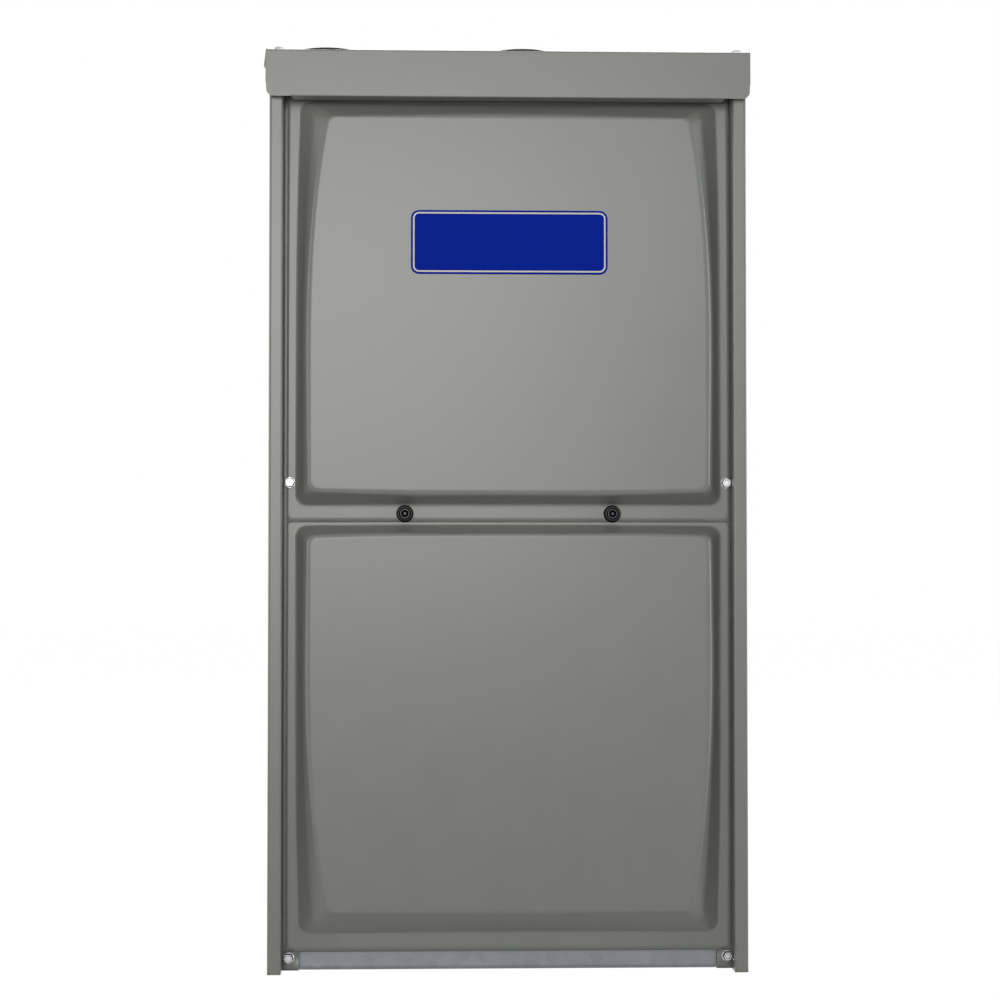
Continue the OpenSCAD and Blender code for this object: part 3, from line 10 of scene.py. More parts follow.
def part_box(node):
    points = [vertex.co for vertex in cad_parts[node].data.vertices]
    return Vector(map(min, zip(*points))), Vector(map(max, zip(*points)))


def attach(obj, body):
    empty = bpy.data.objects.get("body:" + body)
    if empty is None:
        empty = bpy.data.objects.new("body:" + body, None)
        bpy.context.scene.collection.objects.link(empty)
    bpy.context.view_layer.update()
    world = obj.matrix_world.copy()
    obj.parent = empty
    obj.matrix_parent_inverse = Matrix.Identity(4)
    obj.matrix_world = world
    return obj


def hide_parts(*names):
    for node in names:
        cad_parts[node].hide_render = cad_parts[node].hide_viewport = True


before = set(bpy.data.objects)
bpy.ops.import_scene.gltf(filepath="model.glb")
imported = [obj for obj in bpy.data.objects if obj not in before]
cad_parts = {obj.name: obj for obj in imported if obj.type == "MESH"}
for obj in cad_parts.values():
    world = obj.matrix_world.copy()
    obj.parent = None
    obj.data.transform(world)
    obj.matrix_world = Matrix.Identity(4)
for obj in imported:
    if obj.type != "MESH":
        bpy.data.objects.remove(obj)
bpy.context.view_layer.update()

# ---- Studio ----
# A white sweep, with a large softbox far in front, a small bar close to the upper door, a tall strip at
# each side, and plain fills at the sides, back and top. The camera stands 2.1 m in front of the doors, a
# little left of the middle and a little below the seam between them.
MM = 0.001
scene = bpy.context.scene
scene.view_settings.view_transform = "Standard"

camera = bpy.data.objects.new("camera", bpy.data.cameras.new("camera"))
camera.data.lens = 80.42
camera.data.sensor_width = 36
camera.location = (-0.0765, -2.4247, 0.3746)
camera.rotation_euler = Vector((0.03311, 0.999, 0.02999)).to_track_quat("-Z", "Y").to_euler()
scene.collection.objects.link(camera)
scene.camera = camera


def linear(colour):
    """An sRGB hex colour as linear red, green, blue and alpha."""
    parts = [int(colour[i:i + 2], 16) / 255 for i in (1, 3, 5)]
    return [c / 12.92 if c <= 0.04045 else ((c + 0.055) / 1.055) ** 2.4 for c in parts] + [1.0]


def add_node(tree, kind, inputs=None, stops=None, **settings):
    """A shader node with its settings, the values or links of its inputs, and a ramp's stops."""
    node = tree.nodes.new("ShaderNode" + kind)
    for name, value in settings.items():
        setattr(node, name, value)
    for name, value in (inputs or {}).items():
        if isinstance(value, bpy.types.NodeSocket):
            tree.links.new(value, node.inputs[name])
        else:
            node.inputs[name].default_value = value
    if stops:
        ends = node.color_ramp.elements
        while len(ends) < len(stops):
            ends.new(0.5)
        for end, (place, colour) in zip(ends, stops):
            end.position, end.color = place, linear(colour)
    return node


def seen_white(tree, share):
    """A factor that is share for camera, glossy and transmitted rays, and 0 for all others."""
    path = add_node(tree, "LightPath")
    seen = add_node(tree, "Math", {0: path.outputs["Is Camera Ray"], 1: path.outputs["Is Glossy Ray"]},
                    operation="MAXIMUM")
    seen = add_node(tree, "Math", {0: seen.outputs[0], 1: path.outputs["Is Transmission Ray"]},
                    operation="MAXIMUM")
    return add_node(tree, "Math", {0: seen.outputs[0], 1: share}, operation="MULTIPLY").outputs[0]


world = bpy.data.worlds.new("studio air")
scene.world = world
world.use_nodes = True
sky = world.node_tree
sky.nodes.clear()
soft = add_node(sky, "Background", {"Color": linear("#ffffff"), "Strength": 0.03})
white = add_node(sky, "Background", {"Color": linear("#ffffff"), "Strength": 1.0})
air = add_node(sky, "MixShader", {0: seen_white(sky, 1.0), 1: soft.outputs[0], 2: white.outputs[0]})
add_node(sky, "OutputWorld", {"Surface": air.outputs[0]})

# Floor: matt white studio board, which the camera sees as paper white with the soft shadow left on it.
board = bpy.data.materials.new("matt white studio board")
board.use_nodes = True
tree = board.node_tree
tree.nodes.clear()
paper = add_node(tree, "BsdfDiffuse", {"Color": linear("#a8a8a8")})
glow = add_node(tree, "Emission", {"Color": linear("#ffffff"), "Strength": 1.108})
both = add_node(tree, "MixShader", {0: seen_white(tree, 0.9), 1: paper.outputs[0], 2: glow.outputs[0]})
add_node(tree, "OutputMaterial", {"Surface": both.outputs[0]})

shape = bmesh.new()
bmesh.ops.create_grid(shape, x_segments=4, y_segments=4, size=12)
floor_mesh = bpy.data.meshes.new("floor")
shape.to_mesh(floor_mesh)
shape.free()
floor_mesh.materials.append(board)
floor = bpy.data.objects.new("floor", floor_mesh)
scene.collection.objects.link(floor)

# Lamps: name, place, the point that it faces, width, height and watts
for name, place, aim, width, height, watts in (
        ("front softbox", (-0.4, -3.6, 0.9), (0, -0.3, 0.5), 1.6, 1.2, 35.5),
        ("near bar", (-0.01, -1.32, 0.95), (0, -0.3, 0.82), 0.95, 0.46, 1.25),
        ("right strip", (2.4, -0.9, 0.6), (0, -0.3, 0.45), 0.35, 1.4, 14),
        ("left strip", (-2.2, -1.0, 0.6), (0, -0.3, 0.45), 0.35, 1.4, 6.2),
        ("right fill", (2.6, 0.6, 1.0), (0, 0, 0.45), 1.5, 1.5, 18),
        ("left fill", (-2.6, 0.6, 1.0), (0, 0, 0.45), 1.5, 1.5, 18),
        ("back fill", (0, 3.2, 1.0), (0, 0, 0.45), 1.5, 1.5, 30),
        ("top fill", (0, 1.4, 2.8), (0, 0.1, 0.45), 1.2, 1.2, 30)):
    lamp = bpy.data.lights.new(name, "AREA")
    lamp.shape = "RECTANGLE"
    lamp.size, lamp.size_y, lamp.energy = width, height, watts
    stand = bpy.data.objects.new(name, lamp)
    stand.location = place
    stand.rotation_euler = (Vector(aim) - Vector(place)).to_track_quat("-Z", "Y").to_euler()
    scene.collection.objects.link(stand)

# ---- Cabinet wrap and rails ----
# Cold-rolled sheet, bent in one piece round the sides and back with narrow returned front rails, and
# finished with baked grey enamel: even, satin, with an orange peel too fine to see from a metre away.
# The rails across the door openings, the cap and the doors get the same coat.


def new_finish(name, dark, light, patch_mm, rough, metallic=0.0, relief_mm=0.01, stretch=(1, 1, 1),
               detail=3.0):
    """A finish whose tone, roughness and relief follow one noise. rough is the range of roughness,
    patch_mm the size of a patch, and stretch draws the patches out into brushed or rolled marks."""
    material = bpy.data.materials.new(name)
    material.use_nodes = True
    tree = material.node_tree
    shader = tree.nodes["Principled BSDF"]
    place = add_node(tree, "TexCoord")
    grid = add_node(tree, "Mapping", {"Vector": place.outputs["Object"],
                                      "Scale": [1 / (patch_mm * MM * s) for s in stretch]})
    noise = add_node(tree, "TexNoise", {"Vector": grid.outputs[0], "Scale": 1.0, "Detail": detail})
    tone = add_node(tree, "ValToRGB", {0: noise.outputs[0]}, stops=[(0.32, dark), (0.68, light)])
    tree.links.new(tone.outputs[0], shader.inputs["Base Color"])
    gloss = add_node(tree, "MapRange", {0: noise.outputs[0], 1: 0.3, 2: 0.7, 3: rough[0], 4: rough[1]})
    tree.links.new(gloss.outputs[0], shader.inputs["Roughness"])
    bump = add_node(tree, "Bump", {"Height": noise.outputs[0], "Distance": relief_mm * MM, "Strength": 1.0})
    tree.links.new(bump.outputs[0], shader.inputs["Normal"])
    shader.inputs["Metallic"].default_value = metallic
    return material


def finish_nodes(material, *names):
    """Gives CAD nodes their finish."""
    for name in names:
        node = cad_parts[name]
        if not node.material_slots:
            node.data.materials.append(material)
        for place in node.material_slots:
            place.material = material


# Baked enamel over sheet steel: flows out even, so its tone and gloss drift over 40 mm
enamel = new_finish("baked grey enamel", "#8b8d86", "#8d8f88", 40.0, (0.295, 0.305), relief_mm=0.002,
                    detail=1.0)
finish_nodes(enamel, "header_rail", "middle_rail")

sheet_t = 1
flat_face = 400 * MM * MM


def add_piece(name, shape, materials, body, node, crease=32, thickness=0, closed=True,
              square=False, even=True):
    """Turns a bmesh in millimetres into a finished piece in place, in metres. Faces over 400 square
    millimetres are flat sheet, so they are shaded flat, and so is every face of a square piece that
    lies square to an axis. An open sheet gets its thickness behind its faces, even round the bends."""
    bmesh.ops.scale(shape, vec=(MM, MM, MM), verts=shape.verts)
    if closed:
        bmesh.ops.recalc_face_normals(shape, faces=shape.faces)
    mesh = bpy.data.meshes.new(name)
    shape.to_mesh(mesh)
    shape.free()
    for material in materials:
        mesh.materials.append(material)
    mesh.set_sharp_from_angle(angle=radians(crease))
    for f in mesh.polygons:
        squared = square and max(map(abs, f.normal)) > 0.9999
        f.use_smooth = f.area < flat_face and not squared
    piece = bpy.data.objects.new(name, mesh)
    scene.collection.objects.link(piece)
    if thickness:
        wall = piece.modifiers.new("sheet", "SOLIDIFY")
        wall.thickness = thickness * MM
        wall.offset = -1
        wall.use_even_offset = even
    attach(piece, body)
    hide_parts(node)


def box_mm(node):
    """A node's lowest and highest corners, in millimetres."""
    return [Vector(corner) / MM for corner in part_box(node)]


def fold_line(shape, points):
    """Edges along a line of points, ready to be drawn out into bent sheet."""
    verts = [shape.verts.new(point) for point in points]
    return [shape.edges.new(pair) for pair in zip(verts, verts[1:])]


def extend(shape, edges, reach=(0, 0, 0)):
    """Draws a sheet out from some of its edges, and returns the vertices that this makes."""
    made = bmesh.ops.extrude_edge_only(shape, edges=edges)["geom"]
    far = [g for g in made if isinstance(g, BMVert)]
    bmesh.ops.translate(shape, vec=reach, verts=far)
    return far


def cut(shape, axis, place):
    """Cuts every face of the shape along a plane across an axis."""
    normal = Vector((0, 0, 0))
    normal[axis] = 1
    bmesh.ops.bisect_plane(shape, geom=shape.verts[:] + shape.edges[:] + shape.faces[:], dist=1e-4,
                           plane_co=normal * place, plane_no=normal)


def faces_within(shape, low, high):
    """Faces whose middle lies between two corners."""
    return [f for f in shape.faces
            if all(a <= c <= b for a, c, b in zip(low, f.calc_center_median(), high))]


def punch(shape, across, middle, radius, margin):
    """Punches a round hole in a flat face that lies across an axis. The face is cut to a square round
    the hole, which reaches out from its middle by the margin."""
    low, high = [Vector(middle) + Vector((side, side, side)) * margin for side in (-1, 1)]
    for axis in range(3):
        if axis != across:
            cut(shape, axis, low[axis])
            cut(shape, axis, high[axis])
    low[across], high[across] = middle[across] - 0.1, middle[across] + 0.1
    bmesh.ops.delete(shape, geom=faces_within(shape, low, high), context="FACES")
    rim = [e for e in shape.edges if e.is_boundary and all(
        a - 0.01 <= c <= b + 0.01 for v in e.verts for a, c, b in zip(low, v.co, high))]
    turn = Matrix.Rotation(radians(90), 4, "Y") if across == 0 else Matrix()
    made = bmesh.ops.create_circle(shape, radius=radius, segments=48,
                                   matrix=Matrix.Translation(middle) @ turn)
    ring = list(dict.fromkeys(e for v in made["verts"] for e in v.link_edges))
    bmesh.ops.bridge_loops(shape, edges=rim + ring)


def face_outward(shape, rank, outward):
    """Makes the faces of an open sheet agree, with the one that ranks highest facing outward."""
    bmesh.ops.recalc_face_normals(shape, faces=shape.faces)
    if max(shape.faces, key=rank).normal.dot(outward) < 0:
        bmesh.ops.reverse_faces(shape, faces=shape.faces)


def arc(x, y, radius, start, end, steps):
    """Points of an arc, its angles in degrees."""
    return [(x + radius * cos(radians(start + (end - start) * i / steps)),
             y + radius * sin(radians(start + (end - start) * i / steps))) for i in range(steps + 1)]


casing_low, casing_high = box_mm("casing_wrap")
x_side, y_front, y_back = casing_high.x, casing_low.y, casing_high.y
x_rail, x_seat, y_seat = x_side - 12.6, x_side - 27.2, y_front + 23.4
outer_bend, inner_bend, seat_bend = 2.4, 1.5, 1.0
# plan of the right half, from the seat of the door round the rail and the side to the middle of the back
plan = [(x_seat, y_seat)] + arc(x_rail - seat_bend, y_seat - seat_bend, seat_bend, 90, 0, 3)
plan += arc(x_rail + inner_bend, y_front + inner_bend, inner_bend, 180, 270, 6)
plan += arc(x_side - outer_bend, y_front + outer_bend, outer_bend, 270, 360, 5)
plan += arc(x_side - outer_bend, y_back - outer_bend, outer_bend, 0, 90, 5)
plan += [(-x, y) for x, y in reversed(plan)]
shape = bmesh.new()
extend(shape, fold_line(shape, [(x, y, 0) for x, y in plan]), (0, 0, casing_high.z))
# slots in the returns beside the doors' screws, from in front of the doors' flat edges to behind them
setback = 19.5
door_y = y_front + setback
slot_front, slot_back, slot_half = door_y - 9, door_y + 2, 4.3
screw_low, screw_high = 12.2, 453.4
for z in (screw_low, screw_high):
    cut(shape, 2, z - slot_half)
    cut(shape, 2, z + slot_half)
cut(shape, 1, slot_front)
cut(shape, 1, slot_back)
for side in (-1, 1):
    for z in (screw_low, screw_high):
        bmesh.ops.delete(shape, context="FACES", geom=faces_within(
            shape, (side * x_rail - 1.2, slot_front - 0.1, z - slot_half - 0.1),
            (side * x_rail + 1.2, slot_back + 0.1, z + slot_half + 0.1)))
# holes in the sides for the gas pipe, the drain and the wires: side, distance back, height, radius, margin
for side, back, z, radius, margin in ((1, 56, 740, 22, 26), (1, 151, 441, 12, 16), (-1, 71, 335, 11.1, 15)):
    punch(shape, 0, (side * x_side, y_front + back, z), radius, margin)
# the groove round the panel that is cut out of a side for a return duct
middle = (y_front + y_back) / 2
groove_front, groove_back, groove_low, groove_high = middle - 208.75, middle + 208.75, 60, 330
for axis, place in ((1, groove_front), (1, groove_back), (2, groove_low), (2, groove_high)):
    cut(shape, axis, place)
face_outward(shape, lambda f: f.calc_center_median().y, Vector((0, 1, 0)))
for side in (-1, 1):
    panel = faces_within(shape, (side * x_side - 0.1, groove_front, groove_low),
                         (side * x_side + 0.1, groove_back, groove_high))
    for depth in (-0.5, 0.5):
        bmesh.ops.inset_region(shape, faces=panel, thickness=1.5, depth=depth, use_even_offset=True)
add_piece("casing_sheet", shape, [enamel], "cabinet", "casing_wrap", thickness=sheet_t,
          closed=False, square=True)

# ---- Top cap ----
# A separate pressed lid in the same enamel, hung over the cabinet's front and sides by a skirt. Its front
# skirt is deeper, round at its lower corners, and turned back along its foot between the rails. The
# openings for the duct and the two pipes are punched, and it is screwed down at its corners.
cap_low, cap_high = box_mm("top_cap")
cap_top = cap_high.z
cap_x = x_side + 3.1
cap_front, cap_back = cap_low.y, cap_high.y
skirt_low, side_low = cap_low.z, cap_low.z + 13
corner_bend, brow_bend, skirt_corner = 0.6, 1.4, 6.9
lip, lip_bend, lip_x = 18, 0.8, cap_x - 23.5
flange_low, flange_high = box_mm("supply_flanges")
duct_lap = 16
pipe_hole, pipe_margin = 33.6, 40

shape = bmesh.new()
bmesh.ops.create_cube(shape, size=1)
for v in shape.verts:
    v.co.x *= 2 * cap_x
    v.co.y = cap_front if v.co.y < 0 else cap_back
    v.co.z = side_low if v.co.z < 0 else cap_top
bmesh.ops.delete(shape, geom=[f for f in shape.faces if f.normal.z < -0.5], context="FACES_ONLY")
corners = [e for e in shape.edges if abs(e.verts[0].co.z - e.verts[1].co.z) > 1]
bmesh.ops.bevel(shape, geom=corners, offset=corner_bend, segments=2, profile=0.5, affect="EDGES",
                material=-1)
brow = [e for e in shape.edges if all(abs(v.co.z - cap_top) < 0.01 for v in e.verts)]
bmesh.ops.bevel(shape, geom=brow, offset=brow_bend, segments=4, profile=0.5, affect="EDGES", material=-1)
# the deeper front skirt with round lower corners, and the lip turned back along its foot
foot = [e for e in shape.edges
        if e.is_boundary and all(abs(v.co.y - cap_front) < 0.01 for v in e.verts)]
corners = extend(shape, foot)
for v in corners:
    v.co.z = skirt_low
bmesh.ops.bevel(shape, geom=corners, offset=skirt_corner, segments=7, profile=0.5, affect="VERTICES",
                material=-1)
for side in (-1, 1):
    cut(shape, 0, side * lip_x)
edge = [e for e in shape.edges if e.is_boundary and all(
    abs(v.co.z - skirt_low) < 0.01 and abs(v.co.x) < lip_x + 0.1 for v in e.verts)]
for v in extend(shape, edge):
    v.co.y = cap_front + lip
    v.co.x -= 2 * (1 if v.co.x > 0 else -1)
bmesh.ops.bevel(shape, geom=edge, offset=lip_bend, segments=3, profile=0.5, affect="EDGES", material=-1)
# punched openings: the duct's, inside its flanges, and the two pipes'
duct_low = (flange_low.x + duct_lap, flange_low.y + duct_lap, cap_top - 0.1)
duct_high = (flange_high.x - duct_lap, flange_high.y - duct_lap, cap_top + 0.1)
for axis in (0, 1):
    cut(shape, axis, duct_low[axis])
    cut(shape, axis, duct_high[axis])
bmesh.ops.delete(shape, geom=faces_within(shape, duct_low, duct_high), context="FACES")
for node in ("vent_coupling", "intake_coupling"):
    low, high = box_mm(node)
    punch(shape, 2, ((low.x + high.x) / 2, (low.y + high.y) / 2, cap_top), pipe_hole, pipe_margin)
face_outward(shape, lambda f: f.calc_center_median().z, Vector((0, 0, 1)))
add_piece("top_cap_lid", shape, [enamel], "cabinet", "top_cap", thickness=sheet_t,
          closed=False, square=True, even=False)


def raise_face(shape, face, reach):
    """Extrudes a face along a vector, and returns the face at the far end."""
    made = bmesh.ops.extrude_face_region(shape, geom=[face])["geom"]
    far = next(g for g in made if isinstance(g, BMFace))
    bmesh.ops.translate(shape, vec=reach, verts=far.verts)
    return far


# lap tabs, where a side skirt is folded over the front and the back
shape = bmesh.new()
for side, y in ((-1, cap_front), (1, cap_back)):
    tab = [shape.verts.new((side * x, y, cap_top - drop))
           for x, drop in ((cap_x - 0.2, 17), (cap_x + 1.6, 15.5), (cap_x - 0.2, 2))]
    raise_face(shape, shape.faces.new(tab), (0, -side * 9, 0))
add_piece("cap_lap_tabs", shape, [enamel], "cabinet", "top_cap")

# ---- Hex washer head screws ----
# Self-drilling sheet metal screws, cold headed with a rolled washer under a six-sided head whose top is
# dished, and plated with zinc. Four hold the cap down, and two hold each door.
# Bright zinc plating is hazed by handling. A second, near-black zinc for the flanks of a head is painted
# shade, for the dark outline round each head.
zinc = new_finish("bright zinc plate", "#a5a6a8", "#bcbdbe", 1.0, (0.3, 0.4), metallic=1.0, relief_mm=0.004)
painted_shade_zinc = new_finish("zinc with painted shade on the flanks", "#1f2023", "#2c2d30", 1.0, (0.45, 0.55), metallic=1.0,
                        relief_mm=0.004)
washer_radius = 5.3


def turned(shape, profile, steps=48):
    """Spins a profile of (radius, height) points round Z, which closes where the radius is 0."""
    line = fold_line(shape, [(r, 0, z) for r, z in profile])
    bmesh.ops.spin(shape, geom=shape.verts[:] + line, cent=(0, 0, 0), axis=(0, 0, 1), angle=2 * pi,
                   steps=steps, use_merge=True, use_duplicate=False)
    bmesh.ops.remove_doubles(shape, verts=shape.verts, dist=1e-4)


FORWARD = Matrix.Rotation(radians(90), 4, "X")


def add_screws(name, places, turn, length, node, body, flank):
    """Screws with their washers' undersides at the given places, turned by a matrix."""
    shape = bmesh.new()
    for place in places:
        one = bmesh.new()
        turned(one, [(0, -length), (1.2, 2 - length), (2.1, 3.5 - length), (2.1, 0), (5.1, 0),
                     (washer_radius, 0.2), (5.25, 0.65), (4.9, 0.95), (0, 1.0)], 40)
        head = bmesh.ops.create_circle(one, cap_ends=True, radius=4.8, segments=6,
                                       matrix=Matrix.Translation((0, 0, 0.9)))
        foot = head["verts"][0].link_faces[0]
        top = raise_face(one, foot, (0, 0, 2.2))
        bmesh.ops.delete(one, geom=[foot], context="FACES_ONLY")
        # over the chamfered corners, in along the rim, and down into the dish
        for inset, rise in ((0.75, 1.25), (1.0, 0.0), (0.35, -0.45), (0.9, 0.0)):
            bmesh.ops.inset_region(one, faces=[top], thickness=inset, use_even_offset=True)
            bmesh.ops.translate(one, vec=(0, 0, rise), verts=top.verts)
        bmesh.ops.recalc_face_normals(one, faces=one.faces)
        # steep faces take the second material, which on the doors' screws is the zinc with painted shade
        for f in one.faces:
            f.material_index = int(abs(f.normal.z) < 0.7)
        bmesh.ops.transform(one, matrix=Matrix.Translation(place) @ turn, verts=one.verts)
        part = bpy.data.meshes.new("one screw")
        one.to_mesh(part)
        one.free()
        shape.from_mesh(part)
        bpy.data.meshes.remove(part)
    add_piece(name, shape, [zinc, flank], body, node, crease=25)


screws_low, screws_high = box_mm("cap_screws")
add_screws("cap_corner_screws",
           [(x, y, cap_top) for x in (screws_low.x + washer_radius, screws_high.x - washer_radius)
            for y in (screws_low.y + washer_radius, screws_high.y - washer_radius)],
           Matrix.Rotation(radians(10), 4, "Z"), 8, "cap_screws", "cabinet", zinc)

# ---- Base rail ----
# Bare galvanised strip across the foot of the cabinet, folded back at its top and foot, seen between the
# ears of the lower door. The zinc is dipped: a faint spangle of 9 mm flowers, blue grey, cloudy over
# 60 mm. The inner panels and boxes are the same sheet.
spangle = bpy.data.materials.new("dip galvanised sheet")
spangle.use_nodes = True
tree = spangle.node_tree
shader = tree.nodes["Principled BSDF"]
place = add_node(tree, "TexCoord")
flowers = add_node(tree, "TexVoronoi", {"Vector": place.outputs["Object"], "Scale": 1 / (9 * MM),
                                        "Randomness": 1.0})
cloud = add_node(tree, "TexNoise", {"Vector": place.outputs["Object"], "Scale": 1 / (60 * MM),
                                    "Detail": 4.0})
total = add_node(tree, "Math", {0: flowers.outputs["Color"], 1: cloud.outputs[0]}, operation="ADD")
share = add_node(tree, "Math", {0: total.outputs[0], 1: 0.5}, operation="MULTIPLY")
tone = add_node(tree, "ValToRGB", {0: share.outputs[0]}, stops=[(0.2, "#6a6d71"), (0.8, "#75787c")])
tree.links.new(tone.outputs[0], shader.inputs["Base Color"])
gloss = add_node(tree, "MapRange", {0: flowers.outputs["Color"], 3: 0.42, 4: 0.5})
tree.links.new(gloss.outputs[0], shader.inputs["Roughness"])
bump = add_node(tree, "Bump", {"Height": cloud.outputs[0], "Distance": 0.02 * MM, "Strength": 0.5})
tree.links.new(bump.outputs[0], shader.inputs["Normal"])
shader.inputs["Metallic"].default_value = 1.0
finish_nodes(spangle, "supply_flanges", "base_frame", "blower_deck", "vestibule_panel", "burner_box",
             "burner_box_cover", "rear_header", "control_bracket", "junction_box")

strip_low, strip_high = box_mm("base_rail")
web, strip_top = strip_low.y, strip_high.z
strip_half, foot_leg, top_leg, foot_bend, top_bend = 194.9, 44, 17, 4.0, 1.5
line = [(web + foot_leg, 0)]
line += [(web + foot_bend - foot_bend * sin(radians(a)), foot_bend - foot_bend * cos(radians(a)))
         for a in range(0, 91, 15)]
line += [(web + top_bend - top_bend * cos(radians(a)), strip_top - top_bend + top_bend * sin(radians(a)))
         for a in range(0, 91, 30)]
line += [(web + top_leg, strip_top)]
shape = bmesh.new()
extend(shape, fold_line(shape, [(-strip_half, y, z) for y, z in line]), (2 * strip_half, 0, 0))
# tabs behind the ends of the strip, which meet the returns of the rails
tab_root, tab_end, tab_edge = strip_half - 10, 208.6, 4
for side in (-1, 1):
    tab = [shape.verts.new((side * x, web + 1.02, z)) for x, z in
           ((tab_root, tab_edge), (tab_end, tab_edge), (tab_end, strip_top - tab_edge),
            (tab_root, strip_top - tab_edge))]
    shape.faces.new(tab)
bmesh.ops.recalc_face_normals(shape, faces=shape.faces)
for f in shape.faces:
    if f.calc_center_median().y < web + 2 and f.normal.y > 0.5:
        f.normal_flip()
add_piece("base_strip", shape, [spangle], "cabinet", "base_rail", thickness=sheet_t,
          closed=False)

# ---- Doors ----
# Each door is one sheet pressed in a die and enamelled like the cabinet: a flat edge, a sloping wall with
# a soft bend at its foot and a fuller one at its top, and a flat field that stands level with the rails.
# The upper field draws in towards its top and the lower one towards its foot.
door_half, door_x = 207.25, 0.8
corner_steps, side_steps, end_steps, wall_steps = 10, 30, 14, 6

# An outline has half its width, the heights of its foot and head, and its corner radius. Each side can
# draw in between a height where it is still plain and one where the draw is full, and the foot and head
# can bow, with their corners further in than their middle.
Outline = namedtuple("Outline", "half low high corner draw plain full low_bow high_bow",
                     defaults=(0, 0, 1, 0, 0))


def half_width(form, z):
    """Half the width of an outline at height z."""
    share = max(0, min(1, (z - form.plain) / (form.full - form.plain)))
    return form.half - form.draw * share ** 2.7


def trace(form):
    """The points (x, z) of an outline, up its right side and down its left."""
    low, high, r = form.low, form.high, form.corner
    foot, head = low + form.low_bow, high - form.high_bow
    lean_low = atan(half_width(form, low + r + 1) - half_width(form, low + r))
    lean_high = atan(half_width(form, high - r - 1) - half_width(form, high - r))
    z0, z1 = foot + r - r * sin(lean_low), head - r + r * sin(lean_high)
    x0 = half_width(form, z0) - r * cos(lean_low)
    x1 = half_width(form, z1) - r * cos(lean_high)
    along = [i / end_steps for i in range(end_steps)]
    right = [(x0 * t, low + form.low_bow * t ** 2.5) for t in along]
    for i in range(corner_steps):
        a = -pi / 2 + (pi / 2 - lean_low) * i / corner_steps
        right.append((x0 + r * cos(a), foot + r + r * sin(a)))
    for i in range(side_steps + 1):
        z = z0 + (z1 - z0) * i / side_steps
        right.append((half_width(form, z), z))
    for i in range(1, corner_steps + 1):
        a = lean_high + (pi / 2 - lean_high) * i / corner_steps
        right.append((x1 + r * cos(a), head - r + r * sin(a)))
    right += [(x1 * t, high - form.high_bow * t ** 2.5) for t in along[:0:-1]]
    return right + [(0, high)] + [(-x, z) for x, z in right[:0:-1]]


def wall_profile(width):
    """Places (across, depth) along a pressed wall of that width, from the flat edge to the field: a
    bend, a straight slope and a bend the other way. A wall under 16 mm wide has tighter bends, and
    one under 13 mm the tightest."""
    ease = max(0, min(1, (width - 13) / 3))
    foot_radius, crown_radius = 2.6 + 1.3 * ease, 4.0 + 3.6 * ease
    slope = radians(45)
    for _ in range(30):
        run = width - (foot_radius + crown_radius) * sin(slope)
        rise = setback - (foot_radius + crown_radius) * (1 - cos(slope))
        slope = 0.5 * (slope + atan(rise / max(run, 0.5)))
    turns = [slope * i / wall_steps for i in range(wall_steps + 1)]
    foot = [(foot_radius * sin(a), foot_radius * (1 - cos(a))) for a in turns]
    crown = [(width - crown_radius * sin(a), setback - crown_radius * (1 - cos(a)))
             for a in reversed(turns)]
    return foot + [((foot[-1][0] + crown[0][0]) / 2, (foot[-1][1] + crown[0][1]) / 2)] + crown


def mix(a, b, t):
    """The point at share t of the way from one point to another."""
    return a[0] + (b[0] - a[0]) * t, a[1] + (b[1] - a[1]) * t


def pressed_sheet(edge, outer, field):
    """The front skin of a pressed door, ring by ring from its edge to its field."""
    edge, outer, field = trace(edge), trace(outer), trace(field)
    spans = [dist(a, b) for a, b in zip(outer, field)]
    walls = [wall_profile(span) for span in spans]
    middle = (0, sum(z for x, z in field) / len(field))
    rings = []
    for t in (0, 0.3, 0.6, 0.85):
        rings.append([(x, 0, z) for x, z in (mix(a, b, t) for a, b in zip(edge, outer))])
    for k in range(len(walls[0])):
        ring = []
        for a, b, wall, span in zip(outer, field, walls, spans):
            x, z = mix(a, b, wall[k][0] / span)
            ring.append((x, -wall[k][1], z))
        rings.append(ring)
    for t in (0.004, 0.02):
        rings.append([(x, -setback, z) for x, z in (mix(a, middle, t) for a in field)])
    shape = bmesh.new()
    order = shape.verts.layers.int.new("order")
    line = [shape.verts.new(p) for p in rings[0]]
    for i, v in enumerate(line):
        v[order] = i
    loop = [shape.edges.new((line[i - 1], line[i])) for i in range(len(line))]
    for ring in rings[1:]:
        made = bmesh.ops.extrude_edge_only(shape, edges=loop)["geom"]
        fresh = {g for g in made if isinstance(g, BMVert)}
        loop = [g for g in made if isinstance(g, BMEdge) and fresh.issuperset(g.verts)]
        for v in fresh:
            v.co = ring[v[order]]
    bmesh.ops.contextual_create(shape, geom=loop)
    face_outward(shape, lambda f: f.calc_area(), Vector((0, -1, 0)))
    bmesh.ops.translate(shape, vec=(door_x, door_y, 0), verts=shape.verts)
    return shape


# heights of the blower deck behind the seam between the doors, and of the foot of the cap's skirt
deck, cap_foot = 417.0, 810.5
upper_low, upper_high = deck - 0.3, cap_foot + 9.5
lower_low, lower_high = 17.8, deck - 0.45
press_half, press_corner, press_draw = 199.65, 11, 3.4
field_half, field_corner, field_draw, field_bow = 183.25, 8, 17, 1.8
upper_plain, upper_full, lower_plain, lower_full = 557.5, 792.5, 301.8, 57.8

shape = pressed_sheet(
    Outline(door_half, upper_low, upper_high, 1),
    Outline(press_half, deck + 14.2, cap_foot + 1.5, press_corner, press_draw, upper_plain, upper_full),
    Outline(field_half, deck + 28.9, cap_foot - 18, field_corner, field_draw, upper_plain, upper_full,
            low_bow=field_bow))
add_piece("upper_door_panel", shape, [enamel], "upper_door", "upper_door",
          thickness=sheet_t, closed=False)

